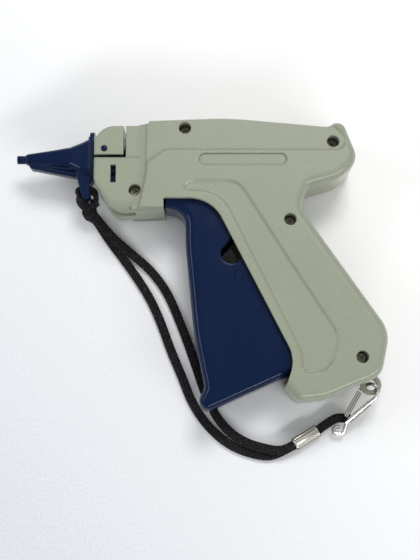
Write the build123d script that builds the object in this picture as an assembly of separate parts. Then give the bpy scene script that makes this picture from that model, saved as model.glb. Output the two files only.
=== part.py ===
from build123d import *
import math
import os

# Garment tag attacher, a hand tool that pushes plastic fasteners through cloth with a hollow needle.
# It lies on its right side. Millimetres: X runs from the needle (negative) to the back, Y runs up
# the tool, Z runs across it, and the right cover's outer face is z = 0. Two covers meet at z = MID.

# ---------------------------------------------------------------- casing
CASE_W = 26.0  # across both covers
MID = CASE_W / 2  # the parting plane
WALL = 2.2
EDGE_R = 3.6  # the soft outer edge of the covers
NOSE_W = 21.2  # the nose is thinner than the body
NOSE_WALL = 1.8
NOSE_EDGE = 2.0
NOSE_FOOT_R = 4.8  # the fuller edge under the left side of the nose
NOSE_STEP = 0.6  # the upper half of the nose lies lower than the lower half
COVE = [(1.4, 1.0), (1.8, 3.2)]  # the hollow step down to the nose: depth and reach of its two slopes
RELIEF = 0.8  # depth of the upper band and of the grip panels
RELIEF_SLOPE = 1.1  # how far their walls lean out
PILL_DEPTH = 0.6
FIT = 0.2  # between an insert and the covers around it
RUN = 0.05  # radial running clearance of pins and shafts
# corners of an outline are (x, y, radius)
CASE_LINE = [
    (-20.4, 59.0, 0),
    (12.0, 60.2, 120),
    (53.6, 56.4, 4),
    (58.9, 60.3, 3.7),
    (65.6, 42.6, 7),
    (58.6, 34.9, 14),
    (44.6, 30.9, 3),
    (41.6, 22.2, 7),
    (76.6, -28.6, 13),
    (72.9, -46.2, 8.5),
    (50.5, -55.2, 12),
    (39.8, -56.4, 4.2),
    (32.6, -48.2, 0),
    (20.0, -48.2, 0),
    (-8.0, 22.2, 0),
    (-23.8, 22.0, 0),
    (-20.9, 36.0, 20),
]
NOSE_LINE = [
    (-43.2, 57.2, 8.5),
    (-12.0, 57.2, 0),
    (-12.0, 22.2, 0),
    (-22.0, 21.6, 0),
    (-34.8, 20.8, 7),
    (-43.2, 33.4, 9),
]
OPENING_LINE = [
    (-14.2, 25.8, 0.6),
    (5.3, 25.8, 15),
    (38.5, -39.7, 14),
    (33.0, -56.0, 0),
    (33.0, -64.0, 0),
    (-14.2, -64.0, 0),
]
BAND_LINE = [
    (-30.0, 66.0, 0),
    (-30.0, 41.4, 0),
    (-21.0, 41.4, 0),
    (-13.8, 46.6, 3),
    (58.6, 46.6, 3),
    (60.4, 51.0, 3),
    (54.6, 56.6, 2),
    (54.6, 66.0, 0),
]
PANEL_LINE = [
    (-7.6, 29.4, 1),
    (-3.0, 32.4, 4),
    (16.0, 32.4, 8),
    (36.0, 0.0, 60),
    (55.8, -31.0, 9),
    (51.6, -43.6, 7),
    (41.2, -45.4, 2.6),
    (42.4, -38.8, 14),
    (9.2, 29.4, 15),
]
PILL = (18.15, 41.85, 35.9, 5.1)  # centre x, centre y, length, height

# ---------------------------------------------------------------- screws
SCREWS = [(-5.6, 55.3), (-26.1, 29.5), (55.2, 49.6), (37.2, 16.8), (65.1, -39.0)]
SCREW_HOLE_R = 2.5
SCREW_SEAT = 5.0  # height of the head's seat above the parting plane
SCREW_HEAD_R = 2.2
SCREW_HEAD_H = 1.8
SCREW_R = 1.15
SCREW_END_Z = 4.6
LEFT_BOSS_R = 3.3  # round the head's recess
LEFT_STEM_R = 2.4  # below the recess
RECESS_FLOOR = 1.2  # under the head's seat
RIGHT_BOSS_R = 3.0
CROSS_L = 2.4
CROSS_W = 0.5

# ---------------------------------------------------------------- trigger
TRIGGER_PIVOT = (-14.0, 31.0)
TRIGGER_TRAVEL = 18.0  # degrees
TRIGGER_SIDE = 0.8  # between the trigger's cheeks and the covers
TRIGGER_W = CASE_W - 2 * (WALL + TRIGGER_SIDE)
TRIGGER_WALL = 2.0
TRIGGER_EDGE = 3.6
TRIGGER_TOP = (-13.6, 31.0, 0)
TRIGGER_BACK = [(9.2, 29.0, 8), (41.2, -38.5, 8), (39.6, -44.4, 1)]
TRIGGER_FRONT = [
    (3.2, -60.6, 3.7),
    (-0.4, -56.2, 3.7),
    (2.6, -51.0, 5),
    (-1.7, -30.0, 120),
    (-5.2, 6.0, 60),
    (-5.4, 21.6, 7),
    (-13.6, 22.7, 0),
]
TRIGGER_EAR = [
    (12.0, -2.0, 0),
    (20.0, 4.2, 1),
    (27.2, 4.6, 2),
    (27.2, -5.6, 2.5),
    (22.0, -14.0, 0),
    (14.0, -14.0, 0),
]
HUB_R = 4.4
PIN_R = 2.0
PIN_SKIN = 1.2  # of cover left over the end of a pivot pin
NOTCH_R = 4.3  # clears the lever's boss when the trigger is pulled
FEED_ARM = 7.6  # from the trigger's pivot to the tip of the arm that works the feed
FEED_ARM_ANGLE = 150.0
FEED_TIP_R = 1.0
FEED_ARM_W = 1.6
FEED_ARM_T = 4.0

# ---------------------------------------------------------------- drive lever and carriage
LEVER_PIVOT = (20.6, 13.2)
LEVER_W = 5.0
LEVER_ARM = 12.0  # from its pivot to the drive pin
LEVER_ARM_ANGLE = -78.0
LEVER_HUB_R = 4.6
LEVER_TIP_W = 8.6
DRIVE_PIN_R = 1.2
CARRIAGE_STROKE = 38.0
CARRIAGE_Y = 44.0  # of the carriage pin
LEVER_PLAY = 1.06  # degrees that the slot's play adds
LEVER_SWING = math.degrees(math.atan(CARRIAGE_STROKE / 2 / (CARRIAGE_Y - LEVER_PIVOT[1])))
LEVER_TRAVEL = 2 * LEVER_SWING + LEVER_PLAY  # degrees, for the full pull
LEVER_HEAD_BACK = 8.0  # from the slot's near end to the back of the lever's head
CARRIAGE_PIN_R = 1.8
CARRIAGE_W = 10.0
CARRIAGE_TOP = 50.2
CARRIAGE_BOTTOM = 38.6
CARRIAGE_FRONT = 13.5  # from the pin to the front of the carriage
CARRIAGE_BACK = 4.0
CARRIAGE_BLOCK = 3.8
RAIL_H = 1.4
ROD_R = 1.0
BOSS_R = 3.1
SPRING_WIRE_R = 0.45
SPRING_TURNS = 2

# ---------------------------------------------------------------- nose: needle, hub, feed
NEEDLE_Y = 45.1
NEEDLE_R = 1.1
NEEDLE_BORE_R = 0.75
NEEDLE_TIP_X = -66.0
NEEDLE_END_X = -38.4
NEEDLE_SLOT = 0.7
HUB_RADIUS = 2.6
HUB_FRONT_X = -45.3
FRAME_BACK_X = -24.4
CHANNEL = (-37.8, -26.2, 2.0)  # fastener channel: front x, back x, width
MOUTH_W = 4.6  # the wider mouth of the channel, on the left side
MOUTH_TOP = 23.4
FEED_SLOT_X = (-30.95, -29.9)
THREAD_SLOT_Y = (43.5, 44.8)
STUB = (-38.9, 47.3, 1.3)
WINDOW = (-36.1, -33.9, 32.7, 40.2)
LOCK_TRAVEL = 2.2
WHEEL_Y = 37.5
NOSE_FLOOR = MID - NOSE_W / 2 + NOSE_WALL + NOSE_STEP
NOSE_ROOF = MID + NOSE_W / 2 - NOSE_WALL - NOSE_STEP
WHEEL_Z = (NOSE_FLOOR + MID) / 2 + 0.5
WHEEL_TEETH = 8
STAR_R = (MID - NOSE_FLOOR) / 2 - 0.9
STAR_ROOT_R = STAR_R - 1.0
STAR_X = (-34.5, -29.5)
RATCHET_X = (-24.1, -22.7)
AXLE_R = 0.8

# ---------------------------------------------------------------- needle cover
CAP_BACK_X = NOSE_LINE[0][0] - FIT
CAP_TIP_X = -76.1
CAP_TIP_R = 1.75
CAP_SHOULDER_X = -72.4
CAP_BORE_R = 1.7
TAB_HOLE = (31.9, 2.0)  # y, radius
# sections of the cover: x, low y, high y, width, corner radius
CAP_SECTIONS = [
    (CAP_SHOULDER_X - 0.6, 43.5, 46.7, 3.8, 1.5),
    (CAP_SHOULDER_X + 0.6, 42.8, 47.4, 5.2, 2.0),
    (-62.0, 42.2, 48.9, 6.6, 2.6),
    (-54.0, 40.6, 50.2, 8.4, 3.2),
    (-49.0, 37.6, 51.8, 11.6, 3.6),
    (-45.2, 37.0, 53.4, 14.0, 3.8),
]
CAP_FLANGE = (36.6, 56.0, 15.0, 4.3)
CAP_FLANGE_T = 1.8
CAP_KEEL = [(-71.8, 44.2, 0), (-70.2, 40.9, 0.8), (-52.0, 37.3, 1.0), (-47.0, 38.6, 0), (-47.0, 45.0, 0)]
CAP_KEEL_W = 4.2
CAP_RIBS = [((-70.6, 41.6), (-49.5, 38.1)), ((-70.6, 42.3), (-49.5, 39.9)), ((-70.6, 43.0), (-49.5, 41.7))]
CAP_RIB_T = 0.9
CAP_RIB_W = 6.4
CAP_TAB = [
    (-51.2, 39.5, 0),
    (-50.2, 35.0, 2),
    (-48.4, 27.8, 1.6),
    (-44.9, 27.8, 1.6),
    (-45.5, 33.4, 3),
    (-44.2, 36.4, 1),
    (-44.2, 39.5, 0),
]
CAP_TAB_W = 8.4

# ---------------------------------------------------------------- lanyard
EYE = (70.3, -49.0, MID - 3.0)
EYE_R = 4.2
EYE_HOLE_R = 2.2
EYE_W = 2.4
STRAP_W = 3.8
STRAP_T = 1.9
HITCH_R = 1.15  # of the strap where it is doubled round the tab
CRIMP_R = 2.5
CRIMP_FROM = (39.4, -73.0, 2.6)
CRIMP_TO = (49.1, -67.1, 2.6)
WIRE_R = 0.75
HOOK_BOW = [
    (-4.0, -1.7, -3.4),
    (-0.4, 0.6, -3.3),
    (0.5, 0.3, 2.5),
    (3.0, -1.6, 2.6),
    (1.7, -5.2, 1.7),
    (-9.6, -15.2, -4.8),
    (-10.8, -19.6, -6.6),
    (-14.6, -19.4, -6.9),
    (-15.0, -16.8, -7.0),
    (-12.2, -16.8, -7.2),
]
GATE_FROM = (-9.5, -11.9, -4.5)
GATE_TO = (-4.2, -2.6, -2.2)
GATE_PIN_R = 0.9
OUTER_POINTS = [
    (-43.3, 20.9, 1.2),
    (-38.4, 13.2, 1.1),
    (-32.2, 5.2, 1.1),
    (-25.6, -4.0, 1.1),
    (-19.8, -13.4, 1.1),
    (-15.4, -23.6, 1.1),
    (-11.6, -34.4, 1.1),
    (-6.8, -45.4, 1.1),
    (-2.8, -56.0, 1.1),
    (4.0, -66.0, 1.1),
    (13.6, -74.0, 1.1),
    (26.4, -78.0, 1.1),
    (CRIMP_FROM[0] - 6.4, CRIMP_FROM[1] - 3.8, 1.5),
    (CRIMP_FROM[0], CRIMP_FROM[1], 1.62),
]
INNER_POINTS = [
    (-41.7, 20.3, 3.2),
    (-35.6, 14.2, 3.1),
    (-28.6, 8.4, 1.1),
    (-20.6, 0.4, 1.1),
    (-13.6, -8.8, 1.1),
    (-8.8, -19.8, 1.1),
    (-4.6, -30.8, 1.1),
    (-0.8, -41.8, 1.1),
    (2.8, -52.6, 1.1),
    (8.6, -64.0, 1.1),
    (17.6, -71.8, 3.2),
    (28.8, -75.0, 3.3),
    (CRIMP_FROM[0] - 4.4, CRIMP_FROM[1] - 2.6, 3.5),
    (CRIMP_FROM[0], CRIMP_FROM[1], 3.6),
]
TAIL_POINTS = [CRIMP_TO, (54.3, -63.3, 2.8), (58.4, -61.6, 2.9), (62.4, -62.6, 2.9)]


def outline(corners):
    """A flat face with rounded corners."""
    radii = [r for _, _, r in corners]
    return make_face(FilletPolyline(*[(x, y) for x, y, _ in corners], radius=radii, close=True).edges())


def prism(face, low, high):
    return Pos(0, 0, low) * extrude(face, high - low)


def block(x0, x1, y0, y1, z0, z1):
    return Pos((x0 + x1) / 2, (y0 + y1) / 2, (z0 + z1) / 2) * Box(x1 - x0, y1 - y0, z1 - z0)


def post(x, y, r, low, high):
    return Pos(x, y, (low + high) / 2) * Cylinder(r, high - low)


def bar(y, z, r, x0, x1):
    """A round bar along X."""
    return Pos((x0 + x1) / 2, y, z) * Rot(0, 90, 0) * Cylinder(r, x1 - x0)


def turned(point, centre, degrees):
    """The point after a turn about the centre."""
    a = math.radians(degrees)
    dx, dy = point[0] - centre[0], point[1] - centre[1]
    return (centre[0] + dx * math.cos(a) - dy * math.sin(a), centre[1] + dx * math.sin(a) + dy * math.cos(a))


def on_line(a, b, x):
    """The corner at x on the line through two corners."""
    return (x, a[1] + (b[1] - a[1]) * (x - a[0]) / (b[0] - a[0]), 0)


def on_circle(centre, r, degrees):
    a = math.radians(degrees)
    return (centre[0] + r * math.cos(a), centre[1] + r * math.sin(a))


def rims(solid, levels, wanted):
    """The solid's edges that lie flat at one of the levels and are wanted."""
    found = ShapeList()
    for e in solid.edges():
        box = e.bounding_box()
        flat = box.max.Z - box.min.Z < 1e-4
        if flat and min(abs(box.min.Z - level) for level in levels) < 1e-3 and wanted(e @ 0.5):
            found.append(e)
    return found


def both(solid):
    """The solid and its mirror image across the parting plane."""
    return solid + mirror(solid, about=Plane.XY.offset(MID))


# ---------------------------------------------------------------- casing
def casing_body():
    """The outside of both covers as one solid."""
    body = prism(outline(CASE_LINE), 0, CASE_W)
    step_x = CASE_LINE[0][0] + 0.3

    def outer(p):
        return p.X > step_x and not (p.Y < 21 and p.X < 30) and not (p.Y < -47.9 and p.X < 32)

    body = fillet(rims(body, (0, CASE_W), outer), EDGE_R)
    low, high = MID - NOSE_W / 2, MID + NOSE_W / 2
    nose = prism(outline(NOSE_LINE), low, high)
    nose = fillet(rims(nose, (low, high), lambda p: p.X < -12.5), NOSE_EDGE)
    upper = block(-50, NOSE_LINE[1][0], THREAD_SLOT_Y[0] - 0.5, 70, high - NOSE_STEP, high + 1)
    bottom = NOSE_LINE[4][1]
    foot = Plane.YZ * outline([(bottom, low, 0), (80, low, 0), (80, high, 0), (bottom, high, NOSE_FOOT_R)])
    nose &= Pos(-60, 0, 0) * extrude(foot, 60)
    cove = shoulder() & prism(outline(NOSE_LINE), 0, CASE_W)
    return body + (nose - both(upper)) + both(cove)


def shoulder():
    """The two slopes between the right side's outer face and the nose, which make a hollow step."""
    inner_x = NOSE_LINE[1][0]
    line = CASE_LINE[:1] + [(inner_x, CASE_LINE[0][1], 0), (inner_x, CASE_LINE[-2][1], 0)] + CASE_LINE[-2:]
    slopes = Part()
    depth, reach = 0, 0
    for down, out in COVE:
        face = Pos(0, 0, depth) * offset(outline(line), amount=reach) if reach else outline(line)
        slopes += extrude(face, amount=down, taper=-math.degrees(math.atan2(out, down)))
        depth, reach = depth + down, reach + out
    return slopes


def nose_room():
    return prism(offset(outline(NOSE_LINE), amount=-NOSE_WALL), NOSE_FLOOR, NOSE_ROOF)


def casing_room():
    """The space inside the covers."""
    body = prism(offset(outline(CASE_LINE), amount=-WALL), WALL, CASE_W - WALL)
    return body + nose_room()


def casing_cuts():
    """What is cut through both covers."""
    front, back, width = CHANNEL
    cuts = prism(outline(OPENING_LINE), -1, CASE_W + 1)
    cuts += block(front, back, 15, 70, MID - width / 2, MID + width / 2)
    cuts += bar(NEEDLE_Y, MID, HUB_RADIUS + RUN, -50, -36)
    cuts += block(*FEED_SLOT_X, 49.6, 70, -1, CASE_W + 1)
    mouth = block(front, back, 15, MOUTH_TOP, MID - width / 2, MID + MOUTH_W)
    return cuts + mouth + both(relief(BAND_LINE)) + both(relief(PANEL_LINE))


def relief(line):
    """A shallow pocket in the left side with leaning walls."""
    lean = math.degrees(math.atan2(RELIEF_SLOPE, RELIEF))
    return extrude(Pos(0, 0, CASE_W - RELIEF) * outline(line), amount=RELIEF + 0.1, taper=-lean)


def covers():
    """The left and right covers, with their bosses and rails."""
    shell = casing_body() - casing_room()
    rail_x = (CARRIAGE_PIN_X - CARRIAGE_STROKE - CARRIAGE_FRONT - 1, CARRIAGE_PIN_X + CARRIAGE_BACK + 1)
    gap = LEVER_W / 2 + 0.4
    rails = block(*rail_x, CARRIAGE_BOTTOM - FIT - RAIL_H, CARRIAGE_BOTTOM - FIT, WALL - 0.1, MID - gap)
    rails += block(*rail_x, CARRIAGE_TOP + FIT, CARRIAGE_TOP + FIT + RAIL_H, WALL - 0.1, MID - gap - 1.6)
    shell += both(rails)
    trigger_boss = post(*TRIGGER_PIVOT, HUB_R, WALL - 0.1, MID - TRIGGER_W / 2 - FIT)
    lever_boss = post(*LEVER_PIVOT, BOSS_R, WALL - 0.1, MID - LEVER_W / 2 - FIT)
    shell += both(trigger_boss + lever_boss)
    upper = shell & block(-90, 90, -90, 90, MID, CASE_W + 1)
    lower = shell & block(-90, 90, -90, 90, -1, MID)
    for x, y in SCREWS:
        in_nose = x < CASE_LINE[0][0]
        roof = NOSE_ROOF + 0.1 if in_nose else CASE_W - WALL + 0.1
        floor = NOSE_FLOOR - 0.1 if in_nose else WALL - 0.1
        upper += post(x, y, LEFT_STEM_R, MID, roof)
        upper += post(x, y, LEFT_BOSS_R, MID + SCREW_SEAT - RECESS_FLOOR, roof)
        lower += post(x, y, RIGHT_BOSS_R, floor, MID)
    upper -= casing_cuts()
    lower -= casing_cuts()
    for x, y in SCREWS:
        upper -= post(x, y, SCREW_HOLE_R, MID + SCREW_SEAT, CASE_W + 1)
        upper -= post(x, y, SCREW_R + FIT, MID - 1, MID + SCREW_SEAT + 1)
        lower -= post(x, y, SCREW_R + 0.02, SCREW_END_Z - 0.4, MID + 1)
    pins = post(*TRIGGER_PIVOT, PIN_R + RUN, PIN_SKIN, CASE_W - PIN_SKIN)
    pins += post(*LEVER_PIVOT, PIN_R + RUN, PIN_SKIN, CASE_W - PIN_SKIN)
    upper -= pins
    lower -= pins
    x, y, length, height = PILL
    upper -= prism(Pos(x, y) * SlotOverall(length, height), CASE_W - PILL_DEPTH, CASE_W + 1)
    upper -= block(WINDOW[0], WINDOW[1], WINDOW[2], WINDOW[3], MID + 5, CASE_W)
    upper -= block(-50, FEED_SLOT_X[1], THREAD_SLOT_Y[0], 70, MID - 1, CASE_W + 1)
    ex, ey, ez = EYE
    lower += post(ex, ey, EYE_R, ez - EYE_W / 2, ez + EYE_W / 2)
    lower -= post(ex, ey, EYE_HOLE_R, ez - EYE_W, ez + EYE_W)
    spring_seat = block(RATCHET_X[0] - 0.2, RATCHET_X[1] + 0.4, 42.0, 44.6, WALL - 0.1, SPRING_Z)
    lower += spring_seat
    return biggest(upper), biggest(lower)


def biggest(shape):
    return max(shape.solids(), key=lambda s: s.volume)


def nose_cap():
    """The separate side piece above the needle, with the hole for the frame's stub."""
    piece = casing_body() - nose_room()
    piece &= block(-50, FEED_SLOT_X[0], THREAD_SLOT_Y[1], 70, MID + FIT / 4, CASE_W)
    piece -= casing_cuts()
    return biggest(piece - post(STUB[0], STUB[1], STUB[2] + RUN, MID, CASE_W))


def casing_screws():
    """Five pan-head screws with cross recesses, as separate solids."""
    seat = MID + SCREW_SEAT
    made = []
    for x, y in SCREWS:
        screw = post(x, y, SCREW_R, SCREW_END_Z, seat) + post(x, y, SCREW_HEAD_R, seat, seat + SCREW_HEAD_H)
        top = seat + SCREW_HEAD_H
        cross = Box(CROSS_L, CROSS_W, 1.6) + Box(CROSS_W, CROSS_L, 1.6)
        made.append(screw - Pos(x, y, top) * Rot(0, 0, 30) * cross)
    return Compound(children=[biggest(s) for s in made])


# ---------------------------------------------------------------- trigger
def arc_notch(start, r):
    """The room that a fixed boss needs in the trigger as the trigger turns past it."""
    ahead = turned(start, TRIGGER_PIVOT, 12)
    middle = turned(start, TRIGGER_PIVOT, (12 - TRIGGER_TRAVEL) / 2)
    end = turned(start, TRIGGER_PIVOT, -TRIGGER_TRAVEL)
    return SlotArc(ThreePointArc(ahead, middle, end), 2 * r)


def drive_pin_in_trigger(share):
    """Where the drive pin is on the trigger after a share of the pull."""
    pin = turned(DRIVE_PIN, LEVER_PIVOT, LEVER_TRAVEL * share)
    return turned(pin, TRIGGER_PIVOT, -TRIGGER_TRAVEL * share)


def trigger():
    """A hollow trigger, open at the back, with its hub, feed arm and the slots for the drive pin."""
    low, high = MID - TRIGGER_W / 2, MID + TRIGGER_W / 2
    shell = prism(outline([TRIGGER_TOP] + TRIGGER_BACK + TRIGGER_FRONT), low, high)

    def seen(p):
        return p.X < 0.49 * p.Y * -1 + 14 and p.Y < 22.5 or p.Y < -43.9 and p.X < 38

    shell = fillet(rims(shell, (low, high), seen), TRIGGER_EDGE)
    open_x = TRIGGER_BACK[1][0] + 20
    open_back = [on_line(TRIGGER_TOP, TRIGGER_BACK[0], open_x)]
    open_back += [on_line(TRIGGER_FRONT[0], TRIGGER_BACK[2], open_x)]
    solid_toe = TRIGGER_FRONT[:1] + TRIGGER_FRONT[2:]
    inside = offset(outline([TRIGGER_TOP] + open_back + solid_toe), amount=-TRIGGER_WALL)
    shell -= prism(inside, low + TRIGGER_WALL, high - TRIGGER_WALL)
    ear = prism(outline(TRIGGER_EAR), low, low + TRIGGER_WALL)
    shell += both(ear)
    path = [drive_pin_in_trigger(share) for share in (0, 0.5, 1)]
    xs = [p[0] for p in path]
    ys = [p[1] for p in path]
    width = 2 * (DRIVE_PIN_R + FIT) + max(xs) - min(xs)
    centre = ((max(xs) + min(xs)) / 2, (max(ys) + min(ys)) / 2)
    slot = Pos(*centre) * Rot(0, 0, 90) * SlotOverall(max(ys) - min(ys) + width, width)
    cuts = slot + arc_notch(LEVER_PIVOT, NOTCH_R) + arc_notch(SCREWS[3], LEFT_BOSS_R + 1.5 * FIT)
    shell -= prism(cuts, 0, CASE_W)
    shell -= lever_way()
    tip = on_circle(TRIGGER_PIVOT, FEED_ARM, FEED_ARM_ANGLE)
    hub = post(*TRIGGER_PIVOT, HUB_R, low, high)
    middle = on_circle(TRIGGER_PIVOT, FEED_ARM / 2, FEED_ARM_ANGLE)
    arm = Pos(*middle) * Rot(0, 0, FEED_ARM_ANGLE) * Rectangle(FEED_ARM, FEED_ARM_W)
    arm += Pos(*tip) * Circle(FEED_TIP_R)
    whole = shell + hub + prism(arm, MID - FEED_ARM_T / 2, MID + FEED_ARM_T / 2)
    return biggest(whole - post(*TRIGGER_PIVOT, PIN_R + RUN, 0, CASE_W))


def lever_way():
    """The room in the trigger's roof for the lever near the end of the pull."""
    room = Part()
    for share in (0.76, 0.84, 0.92, 1.0):
        lead = 90 - LEVER_TRAVEL / 2 + LEVER_TRAVEL * share
        centre = turned(on_circle(LEVER_PIVOT, 20, lead), TRIGGER_PIVOT, -TRIGGER_TRAVEL * share)
        face = Pos(*centre) * Rot(0, 0, lead - TRIGGER_TRAVEL * share) * Rectangle(40, LEVER_TIP_W + 1.0)
        room += prism(face, MID - LEVER_W / 2 - 3 * FIT, MID + LEVER_W / 2 + 3 * FIT)
    return room


# ---------------------------------------------------------------- lever and carriage
def lever():
    """The lever that turns the pull of the trigger into the stroke of the carriage."""
    low, high = MID - LEVER_W / 2, MID + LEVER_W / 2
    slot_in = CARRIAGE_Y - LEVER_PIVOT[1]
    slot_out = math.hypot(slot_in, CARRIAGE_STROKE / 2)
    lead = 90 - LEVER_TRAVEL / 2
    length = slot_out + CARRIAGE_PIN_R + 1.8
    arm = Pos(*on_circle(LEVER_PIVOT, (length + slot_in - LEVER_HEAD_BACK) / 2, lead)) * Rot(0, 0, lead)
    profile = arm * SlotOverall(length - slot_in + LEVER_HEAD_BACK, LEVER_TIP_W)
    neck = Rot(0, 0, lead) * Rectangle(slot_in, 2 * LEVER_HUB_R - 2.4)
    neck = Pos(*on_circle(LEVER_PIVOT, slot_in / 2, lead)) * neck
    short = Pos(*on_circle(LEVER_PIVOT, LEVER_ARM / 2, LEVER_ARM_ANGLE)) * Rot(0, 0, LEVER_ARM_ANGLE)
    profile += neck + short * SlotCenterToCenter(LEVER_ARM, 2 * DRIVE_PIN_R + 3.2)
    profile += Pos(*LEVER_PIVOT) * Circle(LEVER_HUB_R)
    sway = 2 * (CARRIAGE_PIN_R + 0.75)
    slot_at = on_circle(LEVER_PIVOT, (slot_in + slot_out) / 2, lead)
    profile -= Pos(*slot_at) * Rot(0, 0, lead) * SlotOverall(slot_out - slot_in + sway, sway)
    profile -= Pos(*LEVER_PIVOT) * Circle(PIN_R + RUN)
    profile -= Pos(*DRIVE_PIN) * Circle(DRIVE_PIN_R)
    return biggest(prism(profile, low, high))


def carriage():
    """The sliding block: two side plates on a front block, joined by the carriage pin."""
    low, high = MID - CARRIAGE_W / 2, MID + CARRIAGE_W / 2
    x0, x1 = CARRIAGE_PIN_X - CARRIAGE_FRONT, CARRIAGE_PIN_X + CARRIAGE_BACK
    piece = block(x0, x1, CARRIAGE_BOTTOM, CARRIAGE_TOP, low, high)
    piece = fillet(piece.edges().filter_by(Axis.Z), 1.2)
    gap = LEVER_W / 2 + FIT
    piece -= block(x0 + CARRIAGE_BLOCK, x1 + 1, CARRIAGE_BOTTOM - 1, CARRIAGE_TOP + 1, MID - gap, MID + gap)
    piece -= post(CARRIAGE_PIN_X, CARRIAGE_Y, CARRIAGE_PIN_R, 0, CASE_W)
    return biggest(piece - bar(NEEDLE_Y, MID, ROD_R, x0 - 1, x0 + CARRIAGE_BLOCK + 1))


def carriage_pin():
    half = CARRIAGE_W / 2
    return post(CARRIAGE_PIN_X, CARRIAGE_Y, CARRIAGE_PIN_R, MID - half, MID + half)


def ejector_rod():
    x0 = CARRIAGE_PIN_X - CARRIAGE_FRONT
    rod = bar(NEEDLE_Y, MID, ROD_R, x0 - 6, x0 + CARRIAGE_BLOCK)
    return rod + bar(NEEDLE_Y, MID, NEEDLE_BORE_R - RUN, CHANNEL[1] + 0.3, x0 - 6)


# ---------------------------------------------------------------- nose
def nose_frame():
    """The insert that fills the nose: it holds the hub and guides the clip of fasteners."""
    inner = offset(outline(NOSE_LINE), amount=-NOSE_WALL - FIT)
    depth = NOSE_ROOF - MID - FIT
    body = prism(inner, MID - depth, MID + depth) & block(-50, FRAME_BACK_X, 0, 70, 0, CASE_W)
    front, back, width = CHANNEL
    body -= block(front, back, 15, 70, MID - width / 2, MID + width / 2)
    body -= block(*FEED_SLOT_X, THREAD_SLOT_Y[0], 70, MID, CASE_W)
    body -= block(*FEED_SLOT_X, 49.6, 70, 0, CASE_W)
    body -= block(-50, FEED_SLOT_X[1], *THREAD_SLOT_Y, MID, CASE_W)
    body -= bar(NEEDLE_Y, MID, HUB_RADIUS + RUN / 2, -50, NEEDLE_END_X)
    body -= bar(NEEDLE_Y, MID, NEEDLE_BORE_R + RUN, NEEDLE_END_X - 1, FRAME_BACK_X + 1)
    body -= bar(WHEEL_Y, WHEEL_Z, STAR_R + 0.4, STAR_X[0] - 0.3, STAR_X[1] + 0.3)
    body -= bar(WHEEL_Y, WHEEL_Z, HUB_SLEEVE_R + 0.1, STAR_X[1], FRAME_BACK_X + 1)
    body -= bar(WHEEL_Y, WHEEL_Z, AXLE_R, STAR_X[0] - 3.2, STAR_X[1])
    body -= post(*SCREWS[1], LEFT_BOSS_R + FIT, 0, CASE_W)
    body -= lock_room()
    body -= knife_blade()
    stub = post(*STUB, MID + depth - 0.5, MID + NOSE_W / 2 - NOSE_STEP)
    return biggest(body + stub)


def lock_room():
    top = MID + NOSE_W / 2
    x0, x1 = WINDOW[0] - 1.3, WINDOW[1] + 1.3
    room = block(x0, x1, WINDOW[2] - 4.4, NEEDLE_Y - HUB_RADIUS - 0.02, LOCK_Z[0] - 0.1, top)
    return room + block(x0, x0 + 2.2, WINDOW[3] - 1.5, NEEDLE_Y - HUB_RADIUS - 0.02, MID + 2.8, LOCK_Z[0])


def needle_lock():
    """The slider behind the window, which locks the hub."""
    x0, x1 = WINDOW[0] - 1.1, WINDOW[1] + 1.1
    top = NEEDLE_Y - HUB_RADIUS - 0.25
    plate = block(x0, x1, WINDOW[2] - 2.0, top, *LOCK_Z)
    hole_y = (WINDOW[2] + WINDOW[3]) / 2 - 0.7
    plate -= block(WINDOW[0] + 0.1, WINDOW[1] - 0.1, hole_y - 1.6, hole_y + 1.6, 0, CASE_W)
    return plate + block(x0, x0 + 1.8, WINDOW[3] + 0.9, top, MID + 3.0, LOCK_Z[0])


def needle_hub():
    hub = bar(NEEDLE_Y, MID, HUB_RADIUS, HUB_FRONT_X, NEEDLE_END_X)
    hub -= bar(NEEDLE_Y, MID, NEEDLE_R, -50, -30)
    slot = NEEDLE_SLOT / 2
    return biggest(hub - block(-50, -30, NEEDLE_Y - slot, NEEDLE_Y + slot, MID, CASE_W))


def needle():
    """A slotted tube with a slanting point."""
    tube = bar(NEEDLE_Y, MID, NEEDLE_R, NEEDLE_TIP_X, NEEDLE_END_X)
    tube -= bar(NEEDLE_Y, MID, NEEDLE_BORE_R, NEEDLE_TIP_X - 1, NEEDLE_END_X + 1)
    slot = NEEDLE_SLOT / 2
    tube -= block(-80, -30, NEEDLE_Y - slot, NEEDLE_Y + slot, MID, CASE_W)
    point = Pos(NEEDLE_TIP_X, NEEDLE_Y, MID + NEEDLE_R) * Rot(0, -22, 0) * Box(10, 6, 2.2)
    return biggest(tube - point)


def knife_blade():
    """The blade that cuts each fastener off its clip, just behind the needle."""
    return block(NEEDLE_END_X + RUN, CHANNEL[0], NEEDLE_Y - 6.0, NEEDLE_Y - NEEDLE_R, MID - 1.6, MID + 1.6)


def toothed(teeth, tip_r, root_r, share, x0, x1):
    """A toothed disc about the feed axle."""
    face = Circle(root_r)
    for i in range(teeth):
        width = share * 2 * math.pi * tip_r / teeth
        tooth = Pos((tip_r + root_r) / 2 - 0.3, 0) * Rectangle(tip_r - root_r + 0.6, width)
        face += Rot(0, 0, 360 / teeth * (i + 0.5)) * tooth
    return Pos(x0, WHEEL_Y, WHEEL_Z) * Rot(0, 90, 0) * extrude(face, x1 - x0)


def feed_wheel():
    wheel = toothed(WHEEL_TEETH, STAR_R, STAR_ROOT_R, 0.34, *STAR_X)
    wheel += toothed(WHEEL_TEETH, STAR_R, STAR_ROOT_R, 0.34, *RATCHET_X)
    wheel += bar(WHEEL_Y, WHEEL_Z, HUB_SLEEVE_R, STAR_X[1] - 1, RATCHET_X[0] + 1)
    return wheel - bar(WHEEL_Y, WHEEL_Z, AXLE_R + RUN, STAR_X[0] - 1, RATCHET_X[1] + 1)


def feed_axle():
    return bar(WHEEL_Y, WHEEL_Z, AXLE_R, STAR_X[0] - 3.0, RATCHET_X[1] + 1.2)


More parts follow.
